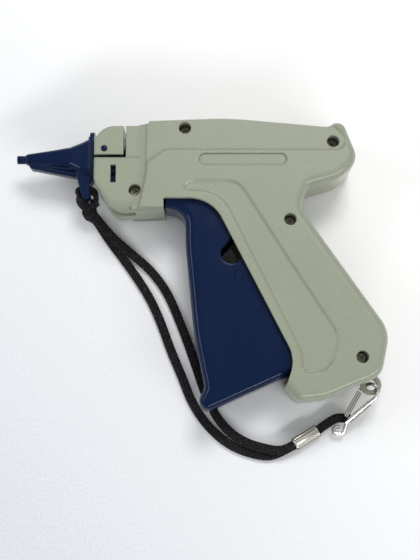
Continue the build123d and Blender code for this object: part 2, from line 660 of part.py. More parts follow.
def feed_slide():
    """The small slide that the trigger's arm pulls down, with the tooth that works the ratchet."""
    tip = on_circle(TRIGGER_PIVOT, FEED_ARM, FEED_ARM_ANGLE)
    x0, x1 = RATCHET_X[0], RATCHET_X[0] + 1.2
    x2, x3 = tip[0] - 3.0, tip[0] - 2.0
    reach = tip[0] - 0.2
    slot = FEED_TIP_R + 0.1
    piece = block(x0, x1, tip[1] + slot, WHEEL_Y + 5.0, *SLIDE_Z)
    piece += block(x2, reach, tip[1] + slot, tip[1] + slot + 1.2, *SLIDE_Z)
    piece += block(x2, reach, tip[1] - slot - 1.2, tip[1] - slot, *SLIDE_Z)
    piece += block(x2, x3, tip[1] - slot - 1.2, tip[1] + slot + 1.2, *SLIDE_Z)
    return piece + block(x0, x1, WHEEL_Y - 0.35, WHEEL_Y + 0.35, WHEEL_Z + STAR_R - 0.45, SLIDE_Z[0] + 0.1)


def detent_spring():
    """A leaf that rests under the ratchet."""
    return block(RATCHET_X[0] + 0.1, RATCHET_X[1] - 0.1, 32.6, 44.6, SPRING_Z, SPRING_Z + 0.3)


# ---------------------------------------------------------------- springs and pins
def return_spring():
    """A torsion spring round the lever's boss: one leg on a screw boss, one hooked on the lever's arm."""
    r = SPRING_WIRE_R
    coil_r = BOSS_R + 0.3 + r
    pitch = 2 * r + FIT
    x, y = LEVER_PIVOT
    lead = 90 - LEVER_TRAVEL / 2
    start, end = lead + 90, 282.0
    z0 = MID + LEVER_W / 2 + 1.2
    z1 = z0 + pitch * (SPRING_TURNS + (end - start) / 360)
    coil = Pos(x, y, z0) * Rot(0, 0, start) * Helix(pitch=pitch, height=z1 - z0, radius=coil_r)
    spring = sweep(Plane(origin=coil @ 0, z_dir=coil % 0) * RegularPolygon(r, 6), path=coil)
    a = on_circle(LEVER_PIVOT, coil_r, start)
    hook = on_circle(a, 11.0, lead)
    b = on_circle(LEVER_PIVOT, coil_r, end)
    far = on_circle(b, SCREWS[3][0] - b[0] + 1.0, end - 270)
    legs = [((*a, z0), (*hook, z0)), ((*hook, z0), (*hook, MID)), ((*b, z1), (*far, z1))]
    for low, high in legs:
        spring += rod(low, high, r)
    return biggest(spring + post(*hook[:2], r, z0 - r, z0 + r) + post(*far[:2], r, z1 - r, z1 + r))


def rod(a, b, r):
    """A round bar between two points."""
    a, b = Vector(*a), Vector(*b)
    length = (b - a).length
    return Plane(origin=a, z_dir=b - a) * Pos(0, 0, length / 2) * Cylinder(r, length)


def pivot_pin(at):
    return post(*at, PIN_R, PIN_SKIN + FIT, CASE_W - PIN_SKIN - FIT)


# ---------------------------------------------------------------- needle cover
def across(x, low, high, width, r):
    """A rounded section of the needle cover at x."""
    plane = Plane(origin=(x, (low + high) / 2, MID), x_dir=(0, 1, 0), z_dir=(1, 0, 0))
    return plane * RectangleRounded(high - low, width, r)


def needle_cover():
    """The pull-off cover: a tapered sleeve that flares to a flange, a ribbed keel and a strap tab."""
    cover = loft([across(*section) for section in CAP_SECTIONS], ruled=True)
    flange_x = CAP_BACK_X - CAP_FLANGE_T
    cover += extrude(across(flange_x, *CAP_FLANGE), CAP_FLANGE_T)
    lug_y = CAP_FLANGE[1] - 2.5
    cover += block(flange_x - 1.0, CAP_BACK_X, lug_y - 0.9, lug_y + 0.9, MID - 2.6, MID + 2.6)
    cover += bar(NEEDLE_Y, MID, CAP_TIP_R, CAP_TIP_X, CAP_SHOULDER_X + 1)
    cover += prism(outline(CAP_KEEL), MID - CAP_KEEL_W / 2, MID + CAP_KEEL_W / 2)
    for front, back in CAP_RIBS:
        angle = math.degrees(math.atan2(back[1] - front[1], back[0] - front[0]))
        rib = Rot(0, 0, angle) * SlotOverall(math.dist(front, back), CAP_RIB_T)
        rib = Pos((front[0] + back[0]) / 2, (front[1] + back[1]) / 2) * rib
        cover += prism(rib, MID - CAP_RIB_W / 2, MID + CAP_RIB_W / 2)
    cover += prism(outline(CAP_TAB), MID - CAP_TAB_W / 2, MID + CAP_TAB_W / 2)
    cover -= bar(NEEDLE_Y, MID, CAP_BORE_R, CAP_TIP_X + 3.0, 0)
    cover -= bar(NEEDLE_Y, MID, HUB_RADIUS + RUN, HUB_FRONT_X - 0.3, 0)
    cover -= bar(TAB_HOLE[0], MID, TAB_HOLE[1], CAP_TAB[0][0] - 9, CAP_BACK_X + 1)
    return biggest(cover)


# ---------------------------------------------------------------- lanyard
def corner_radii(points):
    """Arcs as large as their two runs allow."""
    out = []
    for a, b, c in zip(points, points[1:], points[2:]):
        u, v = Vector(*b) - Vector(*a), Vector(*c) - Vector(*b)
        turn = math.radians(u.get_angle(v))
        out.append(0.45 * min(u.length, v.length) / math.tan(turn / 2))
    return out


def run(points, section, name):
    """A strap along a route of straight runs and tangent arcs, with a check of its volume."""
    radii = corner_radii(points)
    path = FilletPolyline(*points, radius=radii)
    start = path @ 0
    along = path % 0
    side = Vector(0, 0, 1).cross(along)
    plane = Plane(origin=start, x_dir=side, z_dir=along)
    solid = sweep(plane * section, path=path)
    share = solid.volume / (section.area * path.length)
    print(f"{name}: radii {[round(r, 1) for r in radii]}, length {path.length:.1f}, volume share {share:.4f}")
    return solid


def strap_section():
    return chamfer(Rectangle(STRAP_W, STRAP_T).vertices(), STRAP_T / 4)


def strap_hitch():
    """The strap's bight through the tab and the knot under it."""
    hy = TAB_HOLE[0]
    points = [
        (-47.4, 24.8, 8.0),
        (-50.4, 28.6, 10.4),
        (-50.85, hy, MID),
        (-44.0, hy, MID),
        (-42.9, 28.2, 10.4),
        (-44.4, 24.8, 8.0),
    ]
    path = FilletPolyline(*points, radius=[3.0, 1.5, 1.5, 3.0])
    bight = sweep(Plane(origin=path @ 0, z_dir=path % 0) * RegularPolygon(HITCH_R, 8), path=path)
    knot = Pos(-45.9, 23.1, 6.0) * Rot(0, 0, -30) * Box(9.2, 6.4, 8.4)
    knot = chamfer(knot.edges(), 2.0)
    return bight + knot


def crimp_ferrule():
    whole = rod(CRIMP_FROM, CRIMP_TO, CRIMP_R)
    a, b = Vector(*CRIMP_FROM), Vector(*CRIMP_TO)
    seam = Plane(origin=a, z_dir=b - a, x_dir=(0, 0, 1)) * Pos(CRIMP_R, 0, 0) * Box(0.5, 0.3, 40)
    return whole - seam


def by_eye(x, y, z):
    """A point given from the centre of the lanyard eye."""
    return (EYE[0] + x, EYE[1] + y, EYE[2] + z)


def snap_hook():
    """A bent wire that passes up through the eye, a flat spine and a curl at its lower end."""
    bow = [by_eye(*p) for p in HOOK_BOW]
    path = FilletPolyline(*bow, radius=[1.4, 1.5, 1.3, 1.4, 1.6, 1.4, 1.4, 1.4])
    wire = sweep(Plane(origin=path @ 0, z_dir=path % 0) * RegularPolygon(WIRE_R, 8), path=path)
    a, b = Vector(*bow[4]), Vector(*bow[5])
    along = b - a
    across = Vector(0, 0, 1).cross(along).normalized()
    spine = Plane(origin=a + along * 0.22, x_dir=across, z_dir=along) * Pos(0, 0, along.length * 0.34)
    return wire + spine * Box(2.2, 1.2, along.length * 0.68)


def snap_gate():
    """The sprung strip that closes the hook."""
    a, b = Vector(*by_eye(*GATE_FROM)), Vector(*by_eye(*GATE_TO))
    plane = Plane(origin=a, x_dir=Vector(0, 0, 1).cross(b - a), z_dir=b - a)
    strip = plane * Pos(0, 0, (b - a).length / 2) * Box(2.0, 0.6, (b - a).length)
    return strip + post(a.X, a.Y, GATE_PIN_R, a.Z - 0.7, a.Z + 0.7)


CARRIAGE_PIN_X = LEVER_PIVOT[0] + CARRIAGE_STROKE / 2
DRIVE_PIN = on_circle(LEVER_PIVOT, LEVER_ARM, LEVER_ARM_ANGLE)
HUB_SLEEVE_R = 1.7
SPRING_Z = NOSE_FLOOR + 0.8
SLIDE_Z = (MID + 0.1, MID + 1.8)
LOCK_Z = (NOSE_ROOF - 1.8, NOSE_ROOF - 0.3)


def build():
    left, right = covers()
    return {
        "left_cover": left,
        "right_cover": right,
        "nose_cap": nose_cap(),
        "casing_screws": casing_screws(),
        "nose_frame": nose_frame(),
        "needle_hub": needle_hub(),
        "needle": needle(),
        "knife_blade": knife_blade(),
        "needle_lock": needle_lock(),
        "feed_wheel": feed_wheel(),
        "feed_axle": feed_axle(),
        "feed_slide": feed_slide(),
        "detent_spring": detent_spring(),
        "trigger": trigger(),
        "trigger_pin": pivot_pin(TRIGGER_PIVOT),
        "drive_lever": lever(),
        "lever_pin": pivot_pin(LEVER_PIVOT),
        "drive_pin": post(*DRIVE_PIN, DRIVE_PIN_R, MID - TRIGGER_W / 2 + 0.4, MID + TRIGGER_W / 2 - 0.4),
        "return_spring": return_spring(),
        "carriage": carriage(),
        "carriage_pin": carriage_pin(),
        "ejector_rod": ejector_rod(),
        "needle_cover": needle_cover(),
        "strap_hitch": strap_hitch(),
        "strap_outer": run(OUTER_POINTS, strap_section(), "strap_outer"),
        "strap_inner": run(INNER_POINTS, strap_section(), "strap_inner"),
        "crimp_ferrule": crimp_ferrule(),
        "strap_tail": run(TAIL_POINTS, strap_section(), "strap_tail"),
        "snap_hook": snap_hook(),
        "snap_gate": snap_gate(),
    }


os.makedirs("parts", exist_ok=True)
for name, shape in build().items():
    export_step(shape, f"parts/{name}.step")
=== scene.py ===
"""Looks for a garment tag attacher that lies on its side on a white table.

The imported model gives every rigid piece. This script dresses those pieces in moulded plastic and plated
steel, makes the braided lanyard and the wire spring, and sets up the table, the light and the camera.
Everything is in metres: X runs to the back of the tool, Y up the tool, Z across it and away from the table.
"""

import logging
import math
import random
from dataclasses import dataclass, field
from enum import Enum
from typing import Callable, ClassVar, Dict, List, Sequence, Tuple, Union

import bpy
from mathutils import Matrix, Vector

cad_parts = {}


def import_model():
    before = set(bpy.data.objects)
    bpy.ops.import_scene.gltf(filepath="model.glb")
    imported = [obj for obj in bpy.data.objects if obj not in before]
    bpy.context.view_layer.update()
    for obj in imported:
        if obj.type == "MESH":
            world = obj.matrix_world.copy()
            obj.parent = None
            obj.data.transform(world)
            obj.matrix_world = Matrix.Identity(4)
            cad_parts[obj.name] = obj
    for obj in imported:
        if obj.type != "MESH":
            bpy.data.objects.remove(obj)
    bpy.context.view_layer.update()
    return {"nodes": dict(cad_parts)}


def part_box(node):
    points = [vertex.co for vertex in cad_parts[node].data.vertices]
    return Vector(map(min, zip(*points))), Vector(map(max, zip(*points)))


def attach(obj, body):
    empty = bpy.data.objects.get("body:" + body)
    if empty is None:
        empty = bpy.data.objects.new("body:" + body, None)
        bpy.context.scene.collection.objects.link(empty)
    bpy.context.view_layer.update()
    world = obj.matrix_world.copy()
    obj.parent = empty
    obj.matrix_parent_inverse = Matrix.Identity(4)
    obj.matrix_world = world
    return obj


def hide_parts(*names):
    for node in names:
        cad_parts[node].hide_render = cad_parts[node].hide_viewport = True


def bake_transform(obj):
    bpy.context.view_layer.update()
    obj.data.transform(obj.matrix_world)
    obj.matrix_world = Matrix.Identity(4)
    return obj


Flat = Tuple[float, float]
Point = Tuple[float, float, float]
Colour = Tuple[float, float, float]
Face = Tuple[int, ...]
Socket = bpy.types.NodeSocket

# Factors that stretch nothing, plain white, the way up, and the usual bands of a value that count.
EVEN: Point = (1.0, 1.0, 1.0)
WHITE: Colour = (1.0, 1.0, 1.0)
UP = Vector((0.0, 0.0, 1.0))
MIDDLE: Flat = (0.3, 0.7)
WHOLE: Flat = (0.0, 1.0)

log = logging.getLogger("tag_attacher")


class Body(Enum):
    """The rigid bodies that the pieces made here ride on."""

    CASING = "casing"
    TRIGGER = "trigger"
    DRIVE_LEVER = "drive_lever"
    NEEDLE_COVER = "needle_cover"


class Slot(Enum):
    """The record's material slots for the pieces made here."""

    STRAP = "strap"
    STEEL = "steel"
    NICKEL = "nickel"
    NAVY = "navy"


class Sum(Enum):
    """The sums on numbers that the finishes use."""

    ADD = "ADD"
    SUBTRACT = "SUBTRACT"
    MULTIPLY = "MULTIPLY"
    LEAST = "MINIMUM"
    MOST = "MAXIMUM"
    SIZE = "ABSOLUTE"
    WAVE = "SINE"


# ------------------------------------------------------------ materials


class NodeBench:
    """Short calls to add and wire the nodes of one tree."""

    def __init__(self, tree: bpy.types.NodeTree) -> None:
        """Takes the tree to work in, and clears it."""
        self.tree = tree
        self.tree.nodes.clear()

    def add(self, kind: str, **settings: object) -> bpy.types.Node:
        """Adds a node.

        Args:
            kind: The node's type name without the "ShaderNode" in front.
            settings: Properties to set on the node.

        Returns:
            The new node.
        """
        node = self.tree.nodes.new("ShaderNode" + kind)
        for key, value in settings.items():
            setattr(node, key, value)
        return node

    def fill(self, target: Socket, value: object) -> None:
        """Feeds a socket.

        Args:
            target: The input to feed.
            value: Another socket, a number, a vector, or a colour without its alpha.
        """
        if isinstance(value, Socket):
            self.tree.links.new(value, target)
        elif target.type == "RGBA":
            target.default_value = (*value, 1.0)
        else:
            target.default_value = value

    def shine(self, colour: Colour, strength: float, kind: str = "Background") -> bpy.types.Node:
        """Adds a node that gives light.

        Args:
            colour: Linear colour of the light.
            strength: Its strength, where 1 is seen as it is written.
            kind: The node's type.

        Returns:
            The new node.
        """
        node = self.add(kind)
        self.fill(node.inputs["Color"], colour)
        self.fill(node.inputs["Strength"], strength)
        return node

    def either(self, share: Socket, first: bpy.types.Node, second: bpy.types.Node, surface: Socket) -> None:
        """Mixes two shaders into the output.

        Args:
            share: How much of the second one there is.
            first: The first shader.
            second: The second shader.
            surface: The output's socket.
        """
        mix = self.add("MixShader")
        for target, value in zip(mix.inputs, (share, first.outputs[0], second.outputs[0])):
            self.fill(target, value)
        self.fill(surface, mix.outputs[0])


@dataclass(frozen=True)
class Relief:
    """One layer of bumps.

    Attributes:
        height: The socket with its height.
        strength: How strongly it shows.
        depth: Its depth, in metres.
    """

    height: Socket
    strength: float
    depth: float


class ShaderBench(NodeBench):
    """A new material with a Principled shader, and short calls for what the finishes share."""

    def __init__(self, name: str) -> None:
        """Starts an empty material.

        Args:
            name: The material's name.
        """
        self.material = bpy.data.materials.new(name)
        self.material.use_nodes = True
        super().__init__(self.material.node_tree)
        self.surface = self.add("OutputMaterial").inputs["Surface"]
        self.shader = self.add("BsdfPrincipled")
        self.fill(self.surface, self.shader.outputs[0])

    def feed(self, **inputs: object) -> None:
        """Feeds the shader's own inputs, each by its name with underscores for spaces."""
        for name, value in inputs.items():
            self.fill(self.shader.inputs[name.replace("_", " ")], value)

    def point(self) -> Socket:
        """The point on the piece, in its own metres."""
        return self.add("TexCoord").outputs["Object"]

    def noise(self, size: float, detail: float = 2.0, stretch: Point = EVEN) -> Socket:
        """Cloudy noise.

        Args:
            size: The size of its patches in metres.
            detail: How many finer layers it has.
            stretch: Factors along X, Y and Z.

        Returns:
            A socket from 0 to 1.
        """
        mapping = self.add("Mapping")
        self.fill(mapping.inputs["Scale"], tuple(1.0 / size * s for s in stretch))
        self.fill(mapping.inputs["Vector"], self.point())
        node = self.add("TexNoise")
        self.fill(node.inputs["Scale"], 1.0)
        self.fill(node.inputs["Detail"], detail)
        self.fill(node.inputs["Vector"], mapping.outputs[0])
        return node.outputs["Fac"]

    def spread(self, value: Socket, low: float, high: float, band: Flat = MIDDLE) -> Socket:
        """Maps a band of values to low..high, held within them.

        Args:
            value: The socket to map.
            low: The result where the band starts.
            high: The result where the band ends.
            band: The values at which the change starts and ends.

        Returns:
            The result's socket.
        """
        node = self.add("MapRange")
        named = {"Value": value, "From Min": band[0], "From Max": band[1], "To Min": low, "To Max": high}
        for name, what in named.items():
            self.fill(node.inputs[name], what)
        return node.outputs["Result"]

    def maths(self, operation: Sum, a: object, b: object = 0.0) -> Socket:
        """A sum on sockets or numbers.

        Args:
            operation: Which sum it is.
            a: A socket or a number.
            b: A socket or a number.

        Returns:
            The result's socket.
        """
        node = self.add("Math", operation=operation.value)
        for target, value in zip(node.inputs, (a, b)):
            self.fill(target, value)
        return node.outputs[0]

    def dot(self, a: Socket, b: object) -> Socket:
        """The dot product of two vectors.

        Args:
            a: A vector socket.
            b: A vector socket or a fixed direction.

        Returns:
            The result's socket.
        """
        node = self.add("VectorMath", operation="DOT_PRODUCT")
        for target, value in zip(node.inputs, (a, b)):
            self.fill(target, value)
        return node.outputs["Value"]

    def blend(self, share: Socket, first: object, second: object) -> Socket:
        """Mixes two colours.

        Args:
            share: How much of the second one there is.
            first: A colour or a socket.
            second: A colour or a socket.

        Returns:
            A colour socket.
        """
        node = self.add("Mix", data_type="RGBA")
        fed = {"Factor_Float": share, "A_Color": first, "B_Color": second}
        for target in node.inputs:
            if target.identifier in fed:
                self.fill(target, fed[target.identifier])
        return next(out for out in node.outputs if out.identifier == "Result_Color")

    def rounded(self, radius: float, samples: int) -> Socket:
        """The normal with hard edges rounded off.

        Args:
            radius: The radius that the edges seem to have, in metres.
            samples: How many rays find the edges.

        Returns:
            A vector socket.
        """
        node = self.add("Bevel", samples=samples)
        self.fill(node.inputs["Radius"], radius)
        return node.outputs[0]

    def bumps(self, layers: Sequence[Relief], soft_edge: float = 0.0) -> None:
        """Wires bumps to the shader's normal.

        Args:
            layers: The layers, the lowest one first.
            soft_edge: The radius that hard edges seem to have, in metres.
        """
        normal = self.rounded(soft_edge, samples=10) if soft_edge > 0.0 else None
        for layer in layers:
            bump = self.add("Bump")
            self.fill(bump.inputs["Strength"], layer.strength)
            self.fill(bump.inputs["Distance"], layer.depth)
            self.fill(bump.inputs["Height"], layer.height)
            if normal is not None:
                self.fill(bump.inputs["Normal"], normal)
            normal = bump.outputs[0]
        self.feed(Normal=normal)

    def open_sky(self, reach: float, samples: int, only_local: bool = False) -> Socket:
        """Finds how open the surroundings are.

        Args:
            reach: How near a wall has to be to count, in metres.
            samples: How many rays look for walls.
            only_local: Whether only walls of the same piece count.

        Returns:
            A socket that is 1 in the open and nears 0 in holes and seams.
        """
        node = self.add("AmbientOcclusion", samples=samples, only_local=only_local)
        self.fill(node.inputs["Distance"], reach)
        return node.outputs["AO"]

    def level_share(self, band: Flat = (0.93, 0.99)) -> Socket:
        """Finds the faces that lie level with the table.

        Args:
            band: The upright part of the normal where a face starts to count and where it counts in full.

        Returns:
            A socket that is 1 on level faces and 0 on rounded edges and walls.
        """
        split = self.add("SeparateXYZ")
        self.fill(split.inputs[0], self.add("NewGeometry").outputs["Normal"])
        return self.spread(self.maths(Sum.SIZE, split.outputs[2]), 0.0, 1.0, band)

    def edge_share(self, radius: float, band: Flat = (0.02, 0.35)) -> Socket:
        """Finds outer edges and corners.

        Args:
            radius: How far from the edge it reaches, in metres.
            band: The bend at which it starts and at which it is full.

        Returns:
            A socket that is 1 on edges and 0 on flat faces.
        """
        plain = self.add("NewGeometry").outputs["Normal"]
        likeness = self.dot(self.rounded(radius, samples=6), plain)
        return self.spread(self.maths(Sum.SUBTRACT, 1.0, likeness), 0.0, 1.0, band)


# ------------------------------------------------------------ finishes


@dataclass(frozen=True)
class MouldedPlastic:
    """A moulded plastic skin with fine spark-eroded grain, flow marks and polished edges.

    Attributes:
        name: The material's name.
        colour: Linear base colour.
        roughness: Roughness of the open faces.
        edge_roughness: Roughness where hands have polished the edges.
        grain_size: The size of the grain, in metres.
        grain_depth: The depth of the grain, in metres.
        mottle: The share by which the colour wanders.
        scuffs: How strongly fine scuffs show.
        soft_edge: The radius that hard edges seem to have, in metres.
        gloss: The shader's specular level.
        hollow_shade_strength: How dark the painted shade in holes and seams is, from 0 to 1.
        HOLLOW_SHADE_COLOUR: Linear colour of the painted shade in holes and seams.
        SPECK_SIZE: The size of the specks as a share of the grain's.
        SPECK_CONTRAST: How many times the mottle's share the specks stand out by.
        EDGE_HIGHLIGHT_TONE: How much lighter the painted highlight makes the edges.
        EDGE_HIGHLIGHT_SHARE: How strongly the painted highlight on the edges shows, from 0 to 1.
        SCUFF_ROUGHNESS: What a full scuff adds to the roughness.
    """

    name: str
    colour: Colour
    roughness: float = 0.42
    edge_roughness: float = 0.3
    grain_size: float = 0.00045
    grain_depth: float = 0.00003
    mottle: float = 0.04
    scuffs: float = 0.35
    soft_edge: float = 0.0003
    gloss: float = 0.4
    hollow_shade_strength: float = 0.75

    HOLLOW_SHADE_COLOUR: ClassVar[Colour] = (0.012, 0.012, 0.009)
    SPECK_SIZE: ClassVar[float] = 1.6
    SPECK_CONTRAST: ClassVar[float] = 4.0
    EDGE_HIGHLIGHT_TONE: ClassVar[float] = 1.14
    EDGE_HIGHLIGHT_SHARE: ClassVar[float] = 0.5
    SCUFF_ROUGHNESS: ClassVar[float] = 0.14

    def shade(self, factor: float) -> Colour:
        """The base colour made lighter or darker."""
        return tuple(min(1.0, c * factor) for c in self.colour)

    def tint(self, bench: ShaderBench, cloud: Socket) -> Socket:
        """The skin's colour: clouds, specks of the grain, a painted highlight on the edges, and painted shade
        in the hollows.

        Args:
            bench: Where the material is being built.
            cloud: The flow marks.

        Returns:
            A colour socket.
        """
        speckle = bench.noise(self.grain_size * self.SPECK_SIZE)
        light_specks = bench.spread(speckle, low=0.0, high=0.6, band=(0.54, 0.72))
        dark_specks = bench.spread(speckle, low=0.6, high=0.0, band=(0.28, 0.46))
        specks = self.SPECK_CONTRAST * self.mottle
        # Painted highlight: the outer edges are made lighter in colour.
        worn = bench.maths(Sum.MULTIPLY, bench.edge_share(radius=0.0009), self.EDGE_HIGHLIGHT_SHARE)
        # Painted shade: holes and seams are darkened toward a near-black colour where the surroundings close
        # in.
        sky = bench.open_sky(reach=0.0028, samples=8, only_local=True)
        hollow_shade_mask = bench.spread(sky, low=self.hollow_shade_strength, high=0.0, band=(0.18, 0.72))
        darker, lighter = self.shade(1.0 - self.mottle), self.shade(1.0 + self.mottle)
        base = bench.blend(bench.spread(cloud, 0.0, 1.0), darker, lighter)
        base = bench.blend(light_specks, base, self.shade(1.0 + specks))
        base = bench.blend(dark_specks, base, self.shade(1.0 - specks))
        base = bench.blend(worn, base, self.shade(self.EDGE_HIGHLIGHT_TONE))
        return bench.blend(hollow_shade_mask, base, self.HOLLOW_SHADE_COLOUR)

    def material(self) -> bpy.types.Material:
        """Builds the plastic.

        Returns:
            The new material.
        """
        bench = ShaderBench(self.name)
        cloud = bench.noise(size=0.018, detail=3.0)
        level = bench.level_share()
        scratches = bench.noise(size=0.0035, detail=4.0, stretch=(1.0, 0.35, 1.0))
        scuff = bench.spread(scratches, low=0.0, high=self.scuffs, band=(0.52, 0.75))
        rough = bench.spread(level, self.edge_roughness, self.roughness, band=WHOLE)
        rough = bench.maths(Sum.ADD, rough, bench.spread(cloud, low=-0.02, high=0.03))
        rough = bench.maths(Sum.ADD, rough, bench.maths(Sum.MULTIPLY, scuff, self.SCUFF_ROUGHNESS))
        polish = bench.spread(level, low=0.12, high=1.0, band=WHOLE)
        grain = bench.maths(Sum.MULTIPLY, bench.noise(self.grain_size), polish)
        swirl = bench.noise(size=0.006, detail=1.0)
        spark = Relief(grain, strength=0.55, depth=self.grain_depth)
        bench.bumps([spark, Relief(swirl, strength=0.15, depth=0.00004)], self.soft_edge)
        bench.feed(Base_Color=self.tint(bench, cloud), Roughness=rough)
        bench.feed(IOR=1.49, Specular_IOR_Level=self.gloss)
        return bench.material


@dataclass(frozen=True)
class PlatedMetal:
    """Plated or drawn steel with fine marks from its making.

    Attributes:
        name: The material's name.
        colour: Linear base colour.
        roughness: Roughness of the clean plate.
        marks: How much the marks add to the roughness.
        along: Factors that draw the marks out along X, Y and Z.
        tarnish: Share of darker, warmer patches.
        soft_edge: The radius that hard edges seem to have, in metres.
        side_shade: How much darker the walls are than the level faces, from 0 to 1.
        edge_dark_reflection: How strongly the painted dark reflection along the rolled edges shows, from 0 to
            1.
        hole_shade: How dark it gets in holes and furrows, from 0 to 1.
        hole_reach: How near the walls of a hole have to be, in metres.
        fold_at: A point on the middle line of a folded strip, in metres.
        fold_across: The direction across the strip.
        fold_half: Half the strip's width, in metres, or 0 where nothing is folded.
        TARNISHED: What tarnish leaves of each part of the colour.
        WALL_COLOUR: Linear colour of shaded walls.
        HOLE_COLOUR: Linear colour of shaded holes.
        EDGE_REFLECTION_COLOUR: Linear colour of the painted dark reflection along rolled edges.
        FOLD_COLOUR: Linear colour of a fold's shade.
    """

    name: str
    colour: Colour
    roughness: float = 0.2
    marks: float = 0.2
    along: Point = EVEN
    tarnish: float = 0.2
    soft_edge: float = 0.00015
    side_shade: float = 0.0
    edge_dark_reflection: float = 0.0
    hole_shade: float = 0.0
    hole_reach: float = 0.0006
    fold_at: Point = (0.0, 0.0, 0.0)
    fold_across: Point = (1.0, 0.0, 0.0)
    fold_half: float = 0.0

    TARNISHED: ClassVar[Colour] = (0.72, 0.68, 0.6)
    WALL_COLOUR: ClassVar[Colour] = (0.035, 0.033, 0.028)
    HOLE_COLOUR: ClassVar[Colour] = (0.02, 0.019, 0.016)
    EDGE_REFLECTION_COLOUR: ClassVar[Colour] = (0.03, 0.03, 0.028)
    FOLD_COLOUR: ClassVar[Colour] = (0.05, 0.048, 0.042)

    def fold(self, bench: ShaderBench) -> Socket:
        """Finds the shaded parts of a strip whose long edges are folded up.

        Args:
            bench: Where the material is being built.

        Returns:
            A socket that is near 1 at the outer edges and partly dark in the middle groove.
        """
        offset = bench.add("VectorMath", operation="SUBTRACT")
        bench.fill(offset.inputs[0], bench.point())
        bench.fill(offset.inputs[1], self.fold_at)
        away = bench.maths(Sum.SIZE, bench.dot(offset.outputs["Vector"], self.fold_across))
        half = self.fold_half
        edge = bench.spread(away, low=0.0, high=0.95, band=(0.62 * half, 0.86 * half))
        groove = bench.spread(away, low=0.7, high=0.0, band=(0.1 * half, 0.34 * half))
        return bench.maths(Sum.MOST, edge, groove)

    def tint(self, bench: ShaderBench, patches: Socket) -> Socket:
        """The metal's colour: tarnish, painted shade on its walls, in its holes and in its folds, and a
        painted dark reflection along its edges.

        Args:
            bench: Where the material is being built.
            patches: Where it is tarnished.

        Returns:
            A colour socket.
        """
        dull = tuple(c * share for c, share in zip(self.colour, self.TARNISHED))
        base = bench.blend(bench.spread(patches, 0.0, self.tarnish, band=(0.5, 0.75)), self.colour, dull)
        if self.side_shade > 0.0:
            level = bench.level_share(band=(0.35, 0.93))
            wall = bench.spread(level, low=self.side_shade, high=0.0, band=WHOLE)
            base = bench.blend(wall, base, self.WALL_COLOUR)
        if self.hole_shade > 0.0:
            sky = bench.open_sky(self.hole_reach, samples=16)
            hole = bench.spread(sky, low=self.hole_shade, high=0.0, band=(0.3, 0.85))
            base = bench.blend(hole, base, self.HOLE_COLOUR)
        # Painted dark reflection: the rolled edges are darkened in colour.
        if self.edge_dark_reflection > 0.0:
            edge = bench.edge_share(radius=0.00035, band=(0.03, 0.25))
            base = bench.blend(bench.maths(Sum.MULTIPLY, edge, self.edge_dark_reflection), base, self.EDGE_REFLECTION_COLOUR)
        if self.fold_half > 0.0:
            base = bench.blend(self.fold(bench), base, self.FOLD_COLOUR)
        return base

    def material(self) -> bpy.types.Material:
        """Builds the metal.

        Returns:
            The new material.
        """
        bench = ShaderBench(self.name)
        patches = bench.noise(size=0.004, detail=4.0)
        lines = bench.noise(size=0.0006, detail=3.0, stretch=self.along)
        drawn = bench.spread(lines, self.roughness, self.roughness + self.marks, band=(0.35, 0.7))
        rough = bench.maths(Sum.ADD, drawn, bench.spread(patches, low=0.0, high=0.08))
        bench.bumps([Relief(lines, strength=0.35, depth=0.00001)], self.soft_edge)
        bench.feed(Base_Color=self.tint(bench, patches), Roughness=rough, Metallic=1.0)
        return bench.material


@dataclass(frozen=True)
class BraidedTape:
    """A flat polyester braid: two sets of plaits cross over and under along the tape.

    The piece's UV map gives metres across (U) and along (V) the tape.

    Attributes:
        name: The material's name.
        colour: Linear colour of the yarn.
        sheen_colour: Linear colour of the yarn's highlights.
        plait: The length of one crossing along the tape, in metres.
        slant: How many crossings there are across for each one along.
        yarns: How many yarns lie side by side in a plait.
        yarn_height: The height of a yarn as a share of a plait's.
        gap_shade_share: How light the painted shade leaves the gaps between the plaits, as a share of the
            yarn.
    """

    name: str
    colour: Colour
    sheen_colour: Colour
    plait: float = 0.0016
    slant: float = 1.3
    yarns: float = 5.0
    yarn_height: float = 0.16
    gap_shade_share: float = 0.12

    def material(self) -> bpy.types.Material:
        """Builds the braid.

        Returns:
            The new material.
        """
        bench = ShaderBench(self.name)
        split = bench.add("SeparateXYZ")
        bench.fill(split.inputs[0], bench.add("UVMap").outputs[0])
        turn = math.tau / self.plait
        across = bench.maths(Sum.MULTIPLY, split.outputs[0], turn * self.slant)
        along = bench.maths(Sum.MULTIPLY, split.outputs[1], turn)
        rising = bench.maths(Sum.ADD, across, along)
        falling = bench.maths(Sum.SUBTRACT, across, along)
        plaits = bench.maths(Sum.MOST, bench.maths(Sum.WAVE, rising), bench.maths(Sum.WAVE, falling))
        yarn = bench.maths(Sum.WAVE, bench.maths(Sum.MULTIPLY, rising, self.yarns))
        height = bench.maths(Sum.ADD, plaits, bench.maths(Sum.MULTIPLY, yarn, self.yarn_height))
        fuzz = bench.noise(size=0.0007)
        # Painted shade: the gaps between the plaits are darkened in colour.
        dark = tuple(c * self.gap_shade_share for c in self.colour)
        base = bench.blend(bench.spread(plaits, low=0.0, high=1.0, band=(0.1, 0.95)), dark, self.colour)
        base = bench.blend(bench.spread(fuzz, low=0.0, high=0.8, band=(0.56, 0.72)), base, self.sheen_colour)
        bench.bumps([Relief(height, strength=0.8, depth=0.00022), Relief(fuzz, strength=0.5, depth=0.00008)])
        bench.feed(Base_Color=base, Roughness=bench.spread(fuzz, low=0.62, high=0.85))
        bench.feed(Specular_IOR_Level=0.22)
        bench.feed(Sheen_Weight=0.06, Sheen_Roughness=0.4, Sheen_Tint=(0.5, 0.52, 0.58))
        return bench.material


